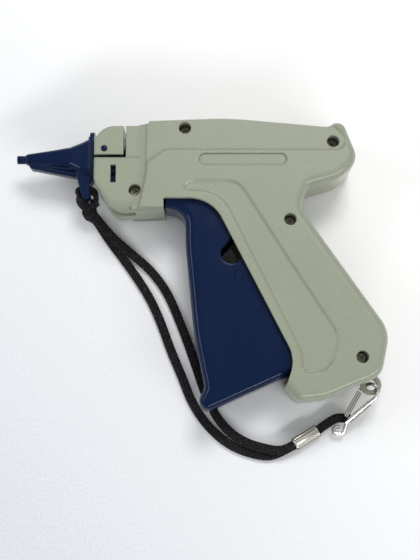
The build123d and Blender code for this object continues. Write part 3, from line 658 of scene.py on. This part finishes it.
@dataclass(frozen=True)
class WhiteTable:
    """A matt white table top with painted light that grows across it, which keeps soft shadows and fades into
    the white surround far from the tool.

    Attributes:
        name: The material's name.
        dull: Linear colour at the corner with the painted shade.
        lit_corner_colour: Linear colour at the corner with the painted light.
        painted_light_direction: The direction in which the painted light grows, per metre.
        painted_light_band: Where along that direction the painted light starts to grow and where it is full.
        fade: Where it starts to fade and where only the white surround is left, in metres from the tool.
        fleck: How light its fine flecks are, as a share of the colour at the lit corner.
    """

    name: str
    dull: Colour
    lit_corner_colour: Colour
    painted_light_direction: Point = (1.15, 1.05, 0.0)
    painted_light_band: Flat = (-0.20, 0.10)
    fade: Flat = (0.22, 0.60)
    fleck: float = 0.97

    def material(self) -> bpy.types.Material:
        """Builds the table top.

        Returns:
            The new material.
        """
        bench = ShaderBench(self.name)
        place = bench.point()
        # Painted light: the colour runs from the shaded corner to the lit one across the table.
        share = bench.spread(bench.dot(place, self.painted_light_direction), 0.0, 1.0, self.painted_light_band)
        flecks = bench.spread(bench.noise(size=0.0012), low=0.0, high=0.35, band=(0.4, 0.8))
        base = bench.blend(share, self.dull, self.lit_corner_colour)
        base = bench.blend(flecks, base, tuple(self.fleck * c for c in self.lit_corner_colour))
        bench.bumps([Relief(bench.noise(size=0.0009, detail=3.0), strength=0.25, depth=0.00004)])
        bench.feed(Base_Color=base, Roughness=0.8, Specular_IOR_Level=0.1)
        reach = bench.add("VectorMath", operation="LENGTH")
        bench.fill(reach.inputs[0], place)
        far = bench.spread(reach.outputs["Value"], 0.0, 1.0, self.fade)
        path = bench.add("LightPath")
        seen = bench.maths(Sum.ADD, path.outputs["Is Camera Ray"], path.outputs["Is Glossy Ray"])
        seen = bench.maths(Sum.ADD, seen, path.outputs["Is Transmission Ray"])
        seen = bench.maths(Sum.LEAST, seen, 1.0)
        white = bench.shine(WHITE, strength=1.0, kind="Emission")
        bench.either(bench.maths(Sum.MULTIPLY, far, seen), bench.shader, white, bench.surface)
        return bench.material


CASING_PLASTIC = MouldedPlastic(
    "sage_grey_casing", (0.294, 0.318, 0.238), roughness=0.44, edge_roughness=0.21, grain_size=0.00055,
    grain_depth=0.00006, mottle=0.022, gloss=0.5, soft_edge=0.0008,
)
NAVY_PLASTIC = MouldedPlastic(
    "navy_moulding", (0.0009, 0.0102, 0.0455), roughness=0.24, edge_roughness=0.12, grain_size=0.0009,
    grain_depth=0.000012, mottle=0.03, scuffs=0.25, gloss=0.2, soft_edge=0.0013,
)
ACETAL = MouldedPlastic(
    "white_acetal", (0.72, 0.72, 0.68), roughness=0.4, edge_roughness=0.34, grain_depth=0.00001,
    mottle=0.02, soft_edge=0.0002,
)
SCREW_STEEL = PlatedMetal(
    "screw_steel", (0.58, 0.54, 0.42), tarnish=0.6, side_shade=0.8, hole_shade=0.62, hole_reach=0.0045
)
PIN_STEEL = PlatedMetal("pin_steel", (0.60, 0.60, 0.58), roughness=0.22, along=(1.0, 1.0, 0.1))
NEEDLE_STEEL = PlatedMetal(
    "needle_steel", (0.78, 0.78, 0.77), roughness=0.24, marks=0.05, along=(0.08, 1.0, 1.0), tarnish=0.05
)
# The hook's walls carry painted shade and its rolled edges a painted dark reflection.
HOOK_CHROME = PlatedMetal(
    "hook_nickel_chrome", (0.74, 0.73, 0.69), roughness=0.14, marks=0.06, along=(0.3, 0.3, 0.3),
    side_shade=0.9, edge_dark_reflection=0.85,
)
GATE_CHROME = PlatedMetal(
    "gate_nickel_chrome", (0.90, 0.88, 0.82), roughness=0.16, marks=0.04, tarnish=0.1, side_shade=0.9,
    fold_at=(0.06345, -0.05625, 0.00665), fold_across=(-0.869, 0.495, 0.0), fold_half=0.0010,
)
FERRULE_NICKEL = PlatedMetal(
    "ferrule_nickel", (0.57, 0.55, 0.49), roughness=0.34, marks=0.0, tarnish=0.0, soft_edge=0.0,
    side_shade=0.8, hole_shade=0.95, hole_reach=0.0007,
)
BLACK_BRAID = BraidedTape("black_braid", (0.0095, 0.0095, 0.0108), (0.065, 0.065, 0.072), plait=0.0022)
# The table's two colours are painted shade at one corner and painted light at the other.
TABLE_TOP = WhiteTable("white_table", (0.71, 0.735, 0.785), (0.995, 0.99, 0.985))


# ------------------------------------------------------------ mesh making

# How many steps each stretch of a route's spline is read in.
SPLINE_STEPS = 10


def turns(count: int) -> List[float]:
    """The angles of points spaced evenly round a circle, in radians."""
    return [math.tau * i / count for i in range(count)]


def squarer(value: float, power: float) -> float:
    """A sine or cosine with its size raised to a power, which turns a circle into a squarer oval."""
    return math.copysign(abs(value) ** power, value)


def oval(width: float, thick: float, points: int = 20, power: float = 0.62) -> List[Flat]:
    """Points of the outline of a tape or a wire: power 1 gives an ellipse and power 0 a rectangle."""
    half, rise = width / 2, thick / 2
    return [(squarer(math.cos(a), power) * half, squarer(math.sin(a), power) * rise) for a in turns(points)]


def skin_faces(rings: int, count: int) -> List[Face]:
    """Joins rings of points into a closed skin.

    Args:
        rings: How many rings there are.
        count: How many points each ring has.

    Returns:
        The faces between the rings, ring by ring, then the first and the last end.
    """
    faces: List[Face] = []
    for i in range(rings - 1):
        for j in range(count):
            k = (j + 1) % count
            faces.append((i * count + j, i * count + k, (i + 1) * count + k, (i + 1) * count + j))
    faces.append(tuple(range(count - 1, -1, -1)))
    faces.append(tuple((rings - 1) * count + j for j in range(count)))
    return faces


def run_length(line: Sequence[Vector]) -> float:
    """The length of a run of points, in metres."""
    return sum((b - a).length for a, b in zip(line, line[1:]))


def spline_points(name: str, route: Sequence[Point]) -> List[Vector]:
    """Reads the smooth line of a route.

    Args:
        name: A name for the helper curve.
        route: The route's points, in metres.

    Returns:
        Points along a NURBS spline with those control points.
    """
    curve = bpy.data.curves.new(name + "_line", "CURVE")
    curve.dimensions = "3D"
    curve.resolution_u = SPLINE_STEPS
    spline = curve.splines.new("NURBS")
    spline.points.add(len(route) - 1)
    for point, place in zip(spline.points, route):
        point.co = (*place, 1.0)
    spline.use_endpoint_u = True
    spline.order_u = 3
    carrier = bpy.data.objects.new(name + "_line", curve)
    bpy.context.scene.collection.objects.link(carrier)
    bpy.context.view_layer.update()
    mesh = bpy.data.meshes.new_from_object(carrier)
    points = [v.co.copy() for v in mesh.vertices]
    bpy.data.objects.remove(carrier)
    bpy.data.meshes.remove(mesh)
    return points


class MeshShop:
    """Turns lists of points into mesh objects in the model's frame."""

    @staticmethod
    def solid(
        name: str,
        verts: Sequence[Sequence[float]],
        faces: Sequence[Face],
        material: bpy.types.Material,
        smooth: bool = True,
    ) -> bpy.types.Object:
        """Makes a mesh object.

        Args:
            name: The piece's name.
            verts: Its points, in metres.
            faces: Its faces, as point numbers.
            material: Its finish.
            smooth: Whether the faces are shaded smooth.

        Returns:
            The new object.
        """
        mesh = bpy.data.meshes.new(name)
        mesh.from_pydata([tuple(v) for v in verts], [], faces)
        mesh.validate()
        for polygon in mesh.polygons:
            polygon.use_smooth = smooth
        mesh.materials.append(material)
        piece = bpy.data.objects.new(name, mesh)
        bpy.context.scene.collection.objects.link(piece)
        log.info("made %s: %d faces in %s", name, len(mesh.polygons), material.name)
        return piece

    @staticmethod
    def tape(
        name: str,
        line: Sequence[Vector],
        outline: Sequence[Flat],
        material: bpy.types.Material,
        side: Callable[[float, Vector], Vector],
        swell: Callable[[float, float], float] = lambda length, share: 1.0,
    ) -> bpy.types.Object:
        """Sweeps a closed outline along a line and gives it UVs in metres.

        Args:
            name: The piece's name.
            line: Points along the middle of the tape, in metres.
            outline: The section's points, across and up, in metres.
            material: Its finish.
            side: The direction of "across" for a share of the length and the run's direction.
            swell: A factor on the section for a length in metres and a section point's share.

        Returns:
            The new object.
        """
        lengths = [0.0]
        for a, b in zip(line, line[1:]):
            lengths.append(lengths[-1] + (b - a).length)
        girth = [0.0]
        for a, b in zip(outline, [*outline[1:], outline[0]]):
            girth.append(girth[-1] + math.dist(a, b))
        verts: List[Vector] = []
        for i, middle in enumerate(line):
            along = (line[min(i + 1, len(line) - 1)] - line[max(i - 1, 0)]).normalized()
            across = side(lengths[i] / lengths[-1], along)
            across = (across - along * across.dot(along)).normalized()
            up = along.cross(across).normalized()
            for j, (u, v) in enumerate(outline):
                factor = swell(lengths[i], girth[j] / girth[-1])
                verts.append(middle + across * (u * factor) + up * (v * factor))
        uvs: List[List[Flat]] = []
        for low, high in zip(lengths, lengths[1:]):
            uvs += [[(a, low), (b, low), (b, high), (a, high)] for a, b in zip(girth, girth[1:])]
        uvs.append([(g, 0.0) for g in reversed(girth[:-1])])
        uvs.append([(g, lengths[-1]) for g in girth[:-1]])
        piece = MeshShop.solid(name, verts, skin_faces(len(line), len(outline)), material)
        layer = piece.data.uv_layers.new(name="UVMap")
        for polygon, corners in zip(piece.data.polygons, uvs):
            for loop, uv in zip(polygon.loop_indices, corners):
                layer.data[loop].uv = uv
        return piece


# ------------------------------------------------------------ camera and studio


@dataclass(frozen=True)
class SoftBox:
    """A rectangular lamp that faces the tool.

    Attributes:
        name: The lamp's name.
        place: Where it hangs, in metres.
        size: Its two sides, in metres.
        watts: Its power.
        colour: Linear colour of its light.
    """

    name: str
    place: Point
    size: Flat
    watts: float
    colour: Colour = WHITE

    def hang(self, aim: Point) -> bpy.types.Object:
        """Hangs the lamp.

        Args:
            aim: The point that it faces, in metres.

        Returns:
            The lamp.
        """
        data = bpy.data.lights.new(self.name, "AREA")
        data.shape = "RECTANGLE"
        data.size, data.size_y = self.size
        data.energy = self.watts
        data.color = self.colour
        lamp = bpy.data.objects.new(self.name, data)
        lamp.location = self.place
        lamp.rotation_euler = (Vector(aim) - Vector(self.place)).to_track_quat("-Z", "Y").to_euler()
        bpy.context.scene.collection.objects.link(lamp)
        return lamp


@dataclass
class Studio:
    """The table, the soft light and the camera.

    Attributes:
        look_at: The point on the table that the camera looks at, in metres.
        distance: From the camera to that point, in metres.
        tilt_deg: How far the camera leans off straight down.
        lens_mm: The camera's focal length.
        sensor_mm: The long side of the camera's sensor.
        seen_range: The nearest and furthest distance that the camera sees, in metres.
        table_half: Half the table's side, in metres.
        lamps: The lamps.
        lamp_aim: The point that the lamps face, in metres.
        surround: Linear colour of the surround's light.
        surround_strength: How strongly the surround lights the tool.
    """

    look_at: Point = (0.0047, -0.0038, 0.0)
    distance: float = 0.450
    tilt_deg: float = 9.6
    lens_mm: float = 68.08
    sensor_mm: float = 36.0
    seen_range: Flat = (0.01, 20.0)
    table_half: float = 2.5
    lamps: Sequence[SoftBox] = (
        SoftBox("sky_softbox", (0.26, 0.88, 1.30), (0.60, 0.52), 12.0, (1.0, 0.995, 0.985)),
        SoftBox("window_softbox", (0.55, -0.92, 0.64), (1.35, 0.15), 7.0),
        SoftBox("side_softbox", (-1.00, 0.17, 0.66), (0.80, 0.12), 2.8, (0.97, 0.985, 1.0)),
    )
    lamp_aim: Point = (0.0, 0.0, 0.01)
    surround: Colour = (0.97, 0.985, 1.0)
    surround_strength: float = 0.405

    def camera(self) -> bpy.types.Object:
        """Makes the camera and sets it as the scene's own.

        Returns:
            The camera.
        """
        tilt = math.radians(self.tilt_deg)
        data = bpy.data.cameras.new("camera")
        data.sensor_fit = "VERTICAL"
        data.sensor_height = self.sensor_mm
        data.lens = self.lens_mm
        data.clip_start, data.clip_end = self.seen_range
        camera = bpy.data.objects.new("camera", data)
        back = Vector((0.0, -math.sin(tilt), math.cos(tilt)))
        camera.location = Vector(self.look_at) + back * self.distance
        camera.rotation_euler = (tilt, 0.0, 0.0)
        bpy.context.scene.collection.objects.link(camera)
        bpy.context.scene.camera = camera
        return camera

    def table(self) -> bpy.types.Object:
        """Lays the table top.

        Returns:
            The table top.
        """
        half = self.table_half
        corners = [(-half, -half, 0.0), (half, -half, 0.0), (half, half, 0.0), (-half, half, 0.0)]
        top = MeshShop.solid("table_top", corners, [(0, 1, 2, 3)], TABLE_TOP.material(), smooth=False)
        return top

    def world(self) -> None:
        """Sets a surround that lights the tool softly and that the camera sees as plain white."""
        world = bpy.data.worlds.new("surround")
        world.use_nodes = True
        bench = NodeBench(world.node_tree)
        surface = bench.add("OutputWorld").inputs["Surface"]
        lit = bench.shine(self.surround, self.surround_strength)
        seen = bench.shine(WHITE, strength=1.0)
        bench.either(bench.add("LightPath").outputs["Is Camera Ray"], lit, seen, surface)
        bpy.context.scene.world = world

    def light(self) -> None:
        """Hangs the lamps and sets the surround."""
        for lamp in self.lamps:
            lamp.hang(self.lamp_aim)
        self.world()
        bpy.context.scene.view_settings.view_transform = "Standard"


# ------------------------------------------------------------ the tool's pieces


@dataclass
class DressedPieces:
    """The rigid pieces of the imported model, each with its finish.

    Attributes:
        nodes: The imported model's objects, by their names.
        wardrobe: Each finish, with the names of the pieces that have it.
        worn: The material that each dressed piece has, by the piece's name.
    """

    nodes: Dict[str, bpy.types.Object]
    wardrobe: Sequence[Tuple[Union[MouldedPlastic, PlatedMetal], Sequence[str]]] = (
        (CASING_PLASTIC, ("left_cover", "right_cover", "nose_cap")),
        (NAVY_PLASTIC, ("trigger", "needle_cover", "nose_frame", "needle_lock")),
        (ACETAL, ("needle_hub", "feed_wheel", "feed_slide", "drive_lever", "carriage")),
        (SCREW_STEEL, ("casing_screws",)),
        (PIN_STEEL, ("trigger_pin", "lever_pin", "drive_pin", "feed_axle", "detent_spring", "carriage_pin")),
        (NEEDLE_STEEL, ("needle", "knife_blade", "ejector_rod")),
        (HOOK_CHROME, ("snap_hook",)),
        (GATE_CHROME, ("snap_gate",)),
    )
    worn: Dict[str, bpy.types.Material] = field(default_factory=dict)

    def dress(self, name: str, material: bpy.types.Material) -> None:
        """Gives a piece its finish.

        Args:
            name: The piece's name.
            material: The finish.
        """
        mesh = self.nodes[name].data
        mesh.materials.clear()
        mesh.materials.append(material)
        for polygon in mesh.polygons:
            polygon.material_index = 0
        self.worn[name] = material
        log.info("dressed %s in %s", name, material.name)

    def build(self) -> None:
        """Dresses every rigid piece."""
        for finish, names in self.wardrobe:
            material = finish.material()
            for name in names:
                self.dress(name, material)


@dataclass
class ReturnSpring:
    """The torsion spring round the drive lever's boss.

    Attributes:
        pivot: The lever's pivot, in metres.
        coil_r: Radius of the coil at the middle of the wire.
        wire_r: Radius of the wire.
        wire_sides: How many sides the wire has.
        pitch: Rise of each turn.
        start_deg: Where the coil starts, at the leg on the lever.
        sweep_deg: How far the coil turns.
        steps: How many steps the coil is made of.
        low_z: Height of the first turn.
        leg: Length of the leg on the lever.
        hook_z: Height of the hooked end.
        hook_bend: How far back along the leg, and up, each point of the hook's bend is.
        stop_leg: Length of the leg on the screw boss.
        bend_from: How far along the lever's leg the wire would start to follow the lever; not used.
        bend_to: How far along it the wire would follow the lever wholly; not used.
        UPRIGHT: The upright part of the wire's direction from which it counts as running up.
        NEARLY_UP: The direction across the level parts of the wire.
        LEVEL: The direction across its upright parts.
    """

    pivot: Flat = (0.0206, 0.0132)
    coil_r: float = 0.00385
    wire_r: float = 0.00044
    wire_sides: int = 8
    pitch: float = 0.0011
    start_deg: float = 147.8
    sweep_deg: float = 854.2
    steps: int = 90
    low_z: float = 0.0167
    leg: float = 0.011
    hook_z: float = 0.0130
    hook_bend: Sequence[Flat] = ((0.0002, -0.0004), (0.0006, 0.0))
    stop_leg: float = 0.0168
    bend_from: float = 0.0005
    bend_to: float = 0.0035

    UPRIGHT: ClassVar[float] = 0.9
    NEARLY_UP: ClassVar[Point] = (0.02, 0.01, 1.0)
    LEVEL: ClassVar[Point] = (1.0, 0.0, 0.0)

    def way(self) -> Vector:
        """The direction in which the leg on the lever runs."""
        lead = math.radians(self.start_deg) - math.pi / 2
        return Vector((math.cos(lead), math.sin(lead), 0.0))

    def coil(self, share: float) -> Vector:
        """A point of the coil.

        Args:
            share: How far along the coil it is, from 0 to 1.

        Returns:
            The point, in metres.
        """
        x, y = self.pivot
        a = math.radians(self.start_deg) + math.radians(self.sweep_deg) * share
        z = self.low_z + self.pitch * self.sweep_deg / 360.0 * share
        return Vector((x + self.coil_r * math.cos(a), y + self.coil_r * math.sin(a), z))

    def line(self) -> List[Vector]:
        """The middle of the wire.

        Returns:
            Points from the hooked end, round the coil, to the end on the screw boss.
        """
        start, out = self.coil(0.0), self.way()
        points = [start + out * self.leg + UP * (self.hook_z - self.low_z)]
        points += [start + out * (self.leg - back) + UP * rise for back, rise in self.hook_bend]
        points.append(start + out * (self.leg / 2))
        points += [self.coil(i / self.steps) for i in range(self.steps + 1)]
        a = math.radians(self.start_deg) + math.radians(self.sweep_deg)
        tangent = Vector((-math.sin(a), math.cos(a), 0.0))
        end = points[-1]
        return [*points, end + tangent * (self.stop_leg / 2), end + tangent * self.stop_leg]

    def side(self, share: float, along: Vector) -> Vector:
        """A direction across the wire: up, or level where the wire itself runs up."""
        return Vector(self.NEARLY_UP if abs(along.z) < self.UPRIGHT else self.LEVEL)

    def build(self) -> bpy.types.Object:
        """Makes the spring's wire, from the hooked end on the lever round the coil to the end on the screw
        boss.

        Returns:
            The spring.
        """
        outline = oval(2 * self.wire_r, 2 * self.wire_r, self.wire_sides, power=1.0)
        wire = MeshShop.tape("return_spring_wire", self.line(), outline, PIN_STEEL.material(), self.side)
        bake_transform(wire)
        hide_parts("return_spring")
        return wire


@dataclass
class CrimpedFerrule:
    """The nickel sleeve that clamps the strands: a flattened tube with pressed ridges along it.

    Attributes:
        start: The middle of its mouth on the strands' side, in metres.
        end: The middle of its other mouth, in metres.
        half_width: Half its width across the strands.
        half_height: Half its height.
        ridges: How many ridges run round it.
        ridge_depth: The depth of the furrows between them.
        furrow_power: The lower it is, the wider the furrows are.
        power: How square its section is: 1 is an ellipse and 0 a rectangle.
        section_points: How many points a section has.
        mouth: Each section at a mouth, from the inside out and back along the sleeve: how far along it is, in
            metres, the share of the full furrow depth there, and its size as a share of the sleeve's.
        waist: The size of the section in the middle.
    """

    start: Point = (0.0394, -0.0730, 0.0026)
    end: Point = (0.0491, -0.0671, 0.0026)
    half_width: float = 0.0026
    half_height: float = 0.0024
    ridges: int = 10
    ridge_depth: float = 0.00034
    furrow_power: float = 0.6
    power: float = 0.8
    section_points: int = 88
    mouth: Sequence[Point] = (
        (0.0003, 0.0, 0.86),
        (0.0, 0.0, 0.93),
        (0.00012, 0.0, 0.99),
        (0.0006, 0.1, 1.0),
        (0.0011, 1.0, 0.985),
    )
    waist: float = 0.97

    def section(self, furrow: float) -> List[Flat]:
        """One cross-section.

        Args:
            furrow: The share of the full furrow depth here.

        Returns:
            Points across and up, in metres.
        """
        out = []
        for a in turns(self.section_points):
            dip = self.ridge_depth * furrow * (0.5 - 0.5 * math.cos(self.ridges * a)) ** self.furrow_power
            across = squarer(math.cos(a), self.power) * (self.half_width - dip)
            out.append((across, squarer(math.sin(a), self.power) * (self.half_height - dip)))
        return out

    def build(self) -> bpy.types.Object:
        """Makes the sleeve with rolled mouths round the strands.

        Returns:
            The sleeve.
        """
        a, b = Vector(self.start), Vector(self.end)
        along, length = (b - a).normalized(), (b - a).length
        across = UP.cross(along).normalized()
        up = along.cross(across)
        stations = [*self.mouth, (length * 0.5, 1.0, self.waist)]
        stations += [(length - at, furrow, size) for at, furrow, size in reversed(self.mouth)]
        verts: List[Vector] = []
        for at, furrow, size in stations:
            verts += [a + along * at + across * (u * size) + up * (v * size) for u, v in self.section(furrow)]
        faces = skin_faces(len(stations), self.section_points)
        sleeve = MeshShop.solid("crimp_sleeve", verts, faces, FERRULE_NICKEL.material())
        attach(sleeve, Body.CASING.value)
        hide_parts("crimp_ferrule")
        return sleeve


@dataclass
class MouldingMark:
    """The low ring that an ejector pin leaves on the trigger's cheek.

    Attributes:
        centre: Its place on the cheek, in metres.
        radius: Radius of the ring's middle.
        width: Width of the ring.
        height: How far it stands proud.
        root: How far it reaches into the cheek.
        flat: Half the width of its flat top, as a share of the ring's width.
        waver: The share by which its radius wavers.
        lobes: How often it wavers in a turn.
        sections: How many sections it has.
    """

    centre: Flat = (0.0163, -0.0056)
    radius: float = 0.0020
    width: float = 0.00042
    height: float = 0.00010
    root: float = 0.0002
    flat: float = 0.3
    waver: float = 0.03
    lobes: float = 5.0
    sections: int = 48

    def build(self, skin: bpy.types.Material) -> bpy.types.Object:
        """Makes the ring on the cheek.

        Args:
            skin: The trigger's own finish.

        Returns:
            The ring.
        """
        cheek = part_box("trigger")[1][2]
        x, y = self.centre
        verts: List[Point] = []
        faces: List[Face] = []
        section = ((-0.5, -self.root), (-self.flat, self.height), (self.flat, self.height), (0.5, -self.root))
        count = len(section)
        for i, a in enumerate(turns(self.sections)):
            for share, rise in section:
                r = self.radius * (1.0 + self.waver * math.sin(self.lobes * a)) + self.width * share
                verts.append((x + r * math.cos(a), y + r * math.sin(a), cheek + rise))
            here, ahead = count * i, count * ((i + 1) % self.sections)
            pairs = [(j, (j + 1) % count) for j in range(count)]
            faces += [(here + j, ahead + j, ahead + k, here + k) for j, k in pairs]
        mark = MeshShop.solid("trigger_moulding_mark", verts, faces, skin)
        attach(mark, Body.TRIGGER.value)
        return mark


@dataclass(frozen=True)
class KnotTurn:
    """An almost closed, slightly twisted turn of the tape in the knot.

    Attributes:
        name: The piece's name.
        lean_deg: The turn's heading.
        reach: Half the length of its middle line, in metres.
        rise: Half the height of its middle line, in metres.
        size: The tape's width and thickness in it, in metres.
        centre: The knot's middle, in metres.
        twist: How far it swings to each side, in metres.
        closed: The share of a full turn that it makes.
        steps: How many steps it is made of.
        slant: What is added to the direction across the tape, so that it leans over.
    """

    name: str
    lean_deg: float
    reach: float
    rise: float
    size: Flat
    centre: Point = (-0.0460, 0.0234, 0.0056)
    twist: float = 0.0010
    closed: float = 0.985
    steps: int = 72
    slant: Point = (0.3, 0.5, 0.1)

    def line(self) -> List[Vector]:
        """The middle of the tape.

        Returns:
            Points along the turn.
        """
        lean = math.radians(self.lean_deg)
        ahead = Vector((math.cos(lean), math.sin(lean), 0.0))
        beside = Vector((-math.sin(lean), math.cos(lean), 0.0))
        points = []
        for i in range(self.steps + 1):
            a = math.tau * (i / self.steps) * self.closed
            flat = ahead * (self.reach * math.cos(a)) + beside * (self.twist * math.sin(2.0 * a))
            points.append(Vector(self.centre) + flat + UP * (self.rise * math.sin(a)))
        return points

    def side(self, share: float, along: Vector) -> Vector:
        """Across the tape in the knot: nearly level, and across the turn."""
        return UP.cross(along) + Vector(self.slant)

    def build(self, skin: bpy.types.Material) -> bpy.types.Object:
        """Makes the turn in the strap's finish."""
        return MeshShop.tape(self.name, self.line(), oval(*self.size, points=16), skin, self.side)


@dataclass
class Lanyard:
    """The braided strap: two strands, the end piece at the hook, and the hitch on the needle cover.

    Attributes:
        width: Across the tape, in metres.
        thick: Through the tape, in metres.
        outer_route: Control points of the lower strand.
        inner_route: Control points of the upper strand.
        tail_route: Control points of the end piece.
        bight_route: Control points of the bight through the needle cover's tab.
        bight_size: The tape's width and thickness in the bight, in metres.
        knot_turns: The turns of the knot.
        lean: How far a strand leans over, as a slope.
        lean_run: How far the lean's wave runs along a strand, in radians.
        phases: The range from which each strand draws where its lean's wave starts, in radians.
        hump: The share by which the plaits stand out at a strand's edges.
        hump_pitch: The distance from hump to hump, in metres.
        hump_shift: How far the humps shift in a turn round the strand, in radians.
        fine_step: About how long the steps along a strand are, in metres.
        skin: The strap's finish.
        IN_TAB: The direction across the bight's tape in the tab's hole.
        AT_KNOT: The direction across the bight's tape at the knot.
        TURN_FROM: How far from the bight's middle the tape starts to turn, as a share of its half.
        TURN_RATE: How fast it turns after that.
    """

    width: float = 0.0038
    thick: float = 0.0018
    outer_route: Sequence[Point] = (
        (-0.0452, 0.0231, 0.0034),
        (-0.0433, 0.0209, 0.0012),
        (-0.0384, 0.0132, 0.0011),
        (-0.0322, 0.0052, 0.0011),
        (-0.0256, -0.0040, 0.0011),
        (-0.0198, -0.0134, 0.0011),
        (-0.0154, -0.0236, 0.0011),
        (-0.0116, -0.0344, 0.0011),
        (-0.0068, -0.0454, 0.0011),
        (-0.0028, -0.0560, 0.0011),
        (0.0040, -0.0660, 0.0011),
        (0.0136, -0.0740, 0.0011),
        (0.0264, -0.0780, 0.0011),
        (0.0330, -0.0768, 0.0015),
        (0.0394, -0.0730, 0.00162),
    )
    inner_route: Sequence[Point] = (
        (-0.0444, 0.0230, 0.0052),
        (-0.0421, 0.0203, 0.0032),
        (-0.0366, 0.0138, 0.0031),
        (-0.0292, 0.0076, 0.0015),
        (-0.0206, 0.0004, 0.0011),
        (-0.0136, -0.0088, 0.0011),
        (-0.0088, -0.0198, 0.0011),
        (-0.0046, -0.0308, 0.0011),
        (-0.0008, -0.0418, 0.0011),
        (0.0028, -0.0526, 0.0011),
        (0.0086, -0.0640, 0.0011),
        (0.0176, -0.0718, 0.0032),
        (0.0288, -0.0750, 0.0033),
        (0.0350, -0.0756, 0.0035),
        (0.0394, -0.0730, 0.0036),
    )
    tail_route: Sequence[Point] = (
        (0.0491, -0.0671, 0.0026),
        (0.0543, -0.0633, 0.0028),
        (0.0584, -0.0616, 0.0029),
        (0.0624, -0.0626, 0.0029),
    )
    bight_route: Sequence[Point] = (
        (-0.0446, 0.0240, 0.0066),
        (-0.0464, 0.0252, 0.0086),
        (-0.0487, 0.0266, 0.0100),
        (-0.0502, 0.0290, 0.0116),
        (-0.0504, 0.0317, 0.0130),
        (-0.0484, 0.0320, 0.0131),
        (-0.0462, 0.0320, 0.0131),
        (-0.0440, 0.0317, 0.0130),
        (-0.0428, 0.0290, 0.0114),
        (-0.0441, 0.0264, 0.0090),
        (-0.0463, 0.0250, 0.0070),
        (-0.0478, 0.0240, 0.0058),
    )
    bight_size: Flat = (0.0042, 0.0020)
    knot_turns: Sequence[KnotTurn] = (
        KnotTurn("strap_knot", lean_deg=-34.0, reach=0.0021, rise=0.0022, size=(0.0032, 0.0020)),
        KnotTurn("strap_knot_wrap", lean_deg=40.0, reach=0.0016, rise=0.0019, size=(0.0031, 0.0020)),
    )
    lean: float = 0.10
    lean_run: float = 9.0
    phases: Flat = (0.0, 6.0)
    hump: float = 0.025
    hump_pitch: float = 0.0016
    hump_shift: float = 12.566
    fine_step: float = 0.0004
    skin: bpy.types.Material = field(default_factory=BLACK_BRAID.material)

    IN_TAB: ClassVar[Point] = (0.0, 0.6, 1.0)
    AT_KNOT: ClassVar[Point] = (1.0, 0.5, 0.0)
    TURN_FROM: ClassVar[float] = 0.35
    TURN_RATE: ClassVar[float] = 2.2

    def strand(
        self, name: str, route: Sequence[Point], node: str, seed: int
    ) -> Tuple[bpy.types.Object, List[Vector]]:
        """Makes one flat strand along its route.

        Args:
            name: The piece's name.
            route: Its control points.
            node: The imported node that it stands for.
            seed: Seed of its slight waviness.

        Returns:
            The piece and the points that it follows.
        """
        line = spline_points(name, route)
        phase = random.Random(seed).uniform(*self.phases)

        def side(share: float, along: Vector) -> Vector:
            """Across the tape, with a slight lean that changes along it."""
            return UP.cross(along) + UP * (self.lean * math.sin(share * self.lean_run + phase))

        def swell(length: float, share: float) -> float:
            """The plaits' humps along the tape's edges."""
            return 1.0 + self.hump * math.sin(length * math.tau / self.hump_pitch + share * self.hump_shift)

        fine: List[Vector] = []
        for a, b in zip(line, line[1:]):
            steps = max(1, int((b - a).length / self.fine_step))
            fine += [a.lerp(b, i / steps) for i in range(steps)]
        fine.append(line[-1])
        piece = MeshShop.tape(name, fine, oval(self.width, self.thick), self.skin, side, swell)
        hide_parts(node)
        log.info("%s: %.1f mm of tape", name, 1000 * run_length(line))
        return piece, line

    def bight_side(self, share: float, along: Vector) -> Vector:
        """Across the bight's tape: flat in the tab's hole, and turned to face up at the knot."""
        turned = min(1.0, max(0.0, abs(share - 0.5) * 2.0 - self.TURN_FROM) * self.TURN_RATE)
        return Vector(self.IN_TAB).lerp(Vector(self.AT_KNOT), turned)

    def hitch(self) -> List[bpy.types.Object]:
        """Makes the bight through the needle cover's tab and the knot under it.

        Returns:
            The bight and the knot's turns.
        """
        line = spline_points("bight", self.bight_route)
        bight = MeshShop.tape("strap_bight", line, oval(*self.bight_size), self.skin, self.bight_side)
        knot, wrap = [turn.build(self.skin) for turn in self.knot_turns]
        for piece in (bight, knot, wrap):
            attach(piece, Body.NEEDLE_COVER.value)
        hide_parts("strap_hitch")
        return [bight, knot, wrap]

    def build(self) -> None:
        hitch = self.hitch()
        ferrule = CrimpedFerrule().build()
        outer, outer_line = self.strand("strap_outer_tape", self.outer_route, "strap_outer", seed=3)
        inner, inner_line = self.strand("strap_inner_tape", self.inner_route, "strap_inner", seed=8)
        tail, _ = self.strand("strap_tail_tape", self.tail_route, "strap_tail", seed=5)
        for piece in (outer, inner):
            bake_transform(piece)
        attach(tail, Body.CASING.value)


def main() -> None:
    """Builds the whole scene in order."""
    logging.basicConfig(level=logging.INFO, format="%(name)s: %(message)s")
    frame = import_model()
    studio = Studio()
    studio.camera()
    Lanyard().build()
    pieces = DressedPieces(frame["nodes"])
    pieces.build()
    MouldingMark().build(pieces.worn["trigger"])
    ReturnSpring().build()
    studio.table()
    studio.light()
    log.info("scene ready")


if __name__ == "__main__":
    main()
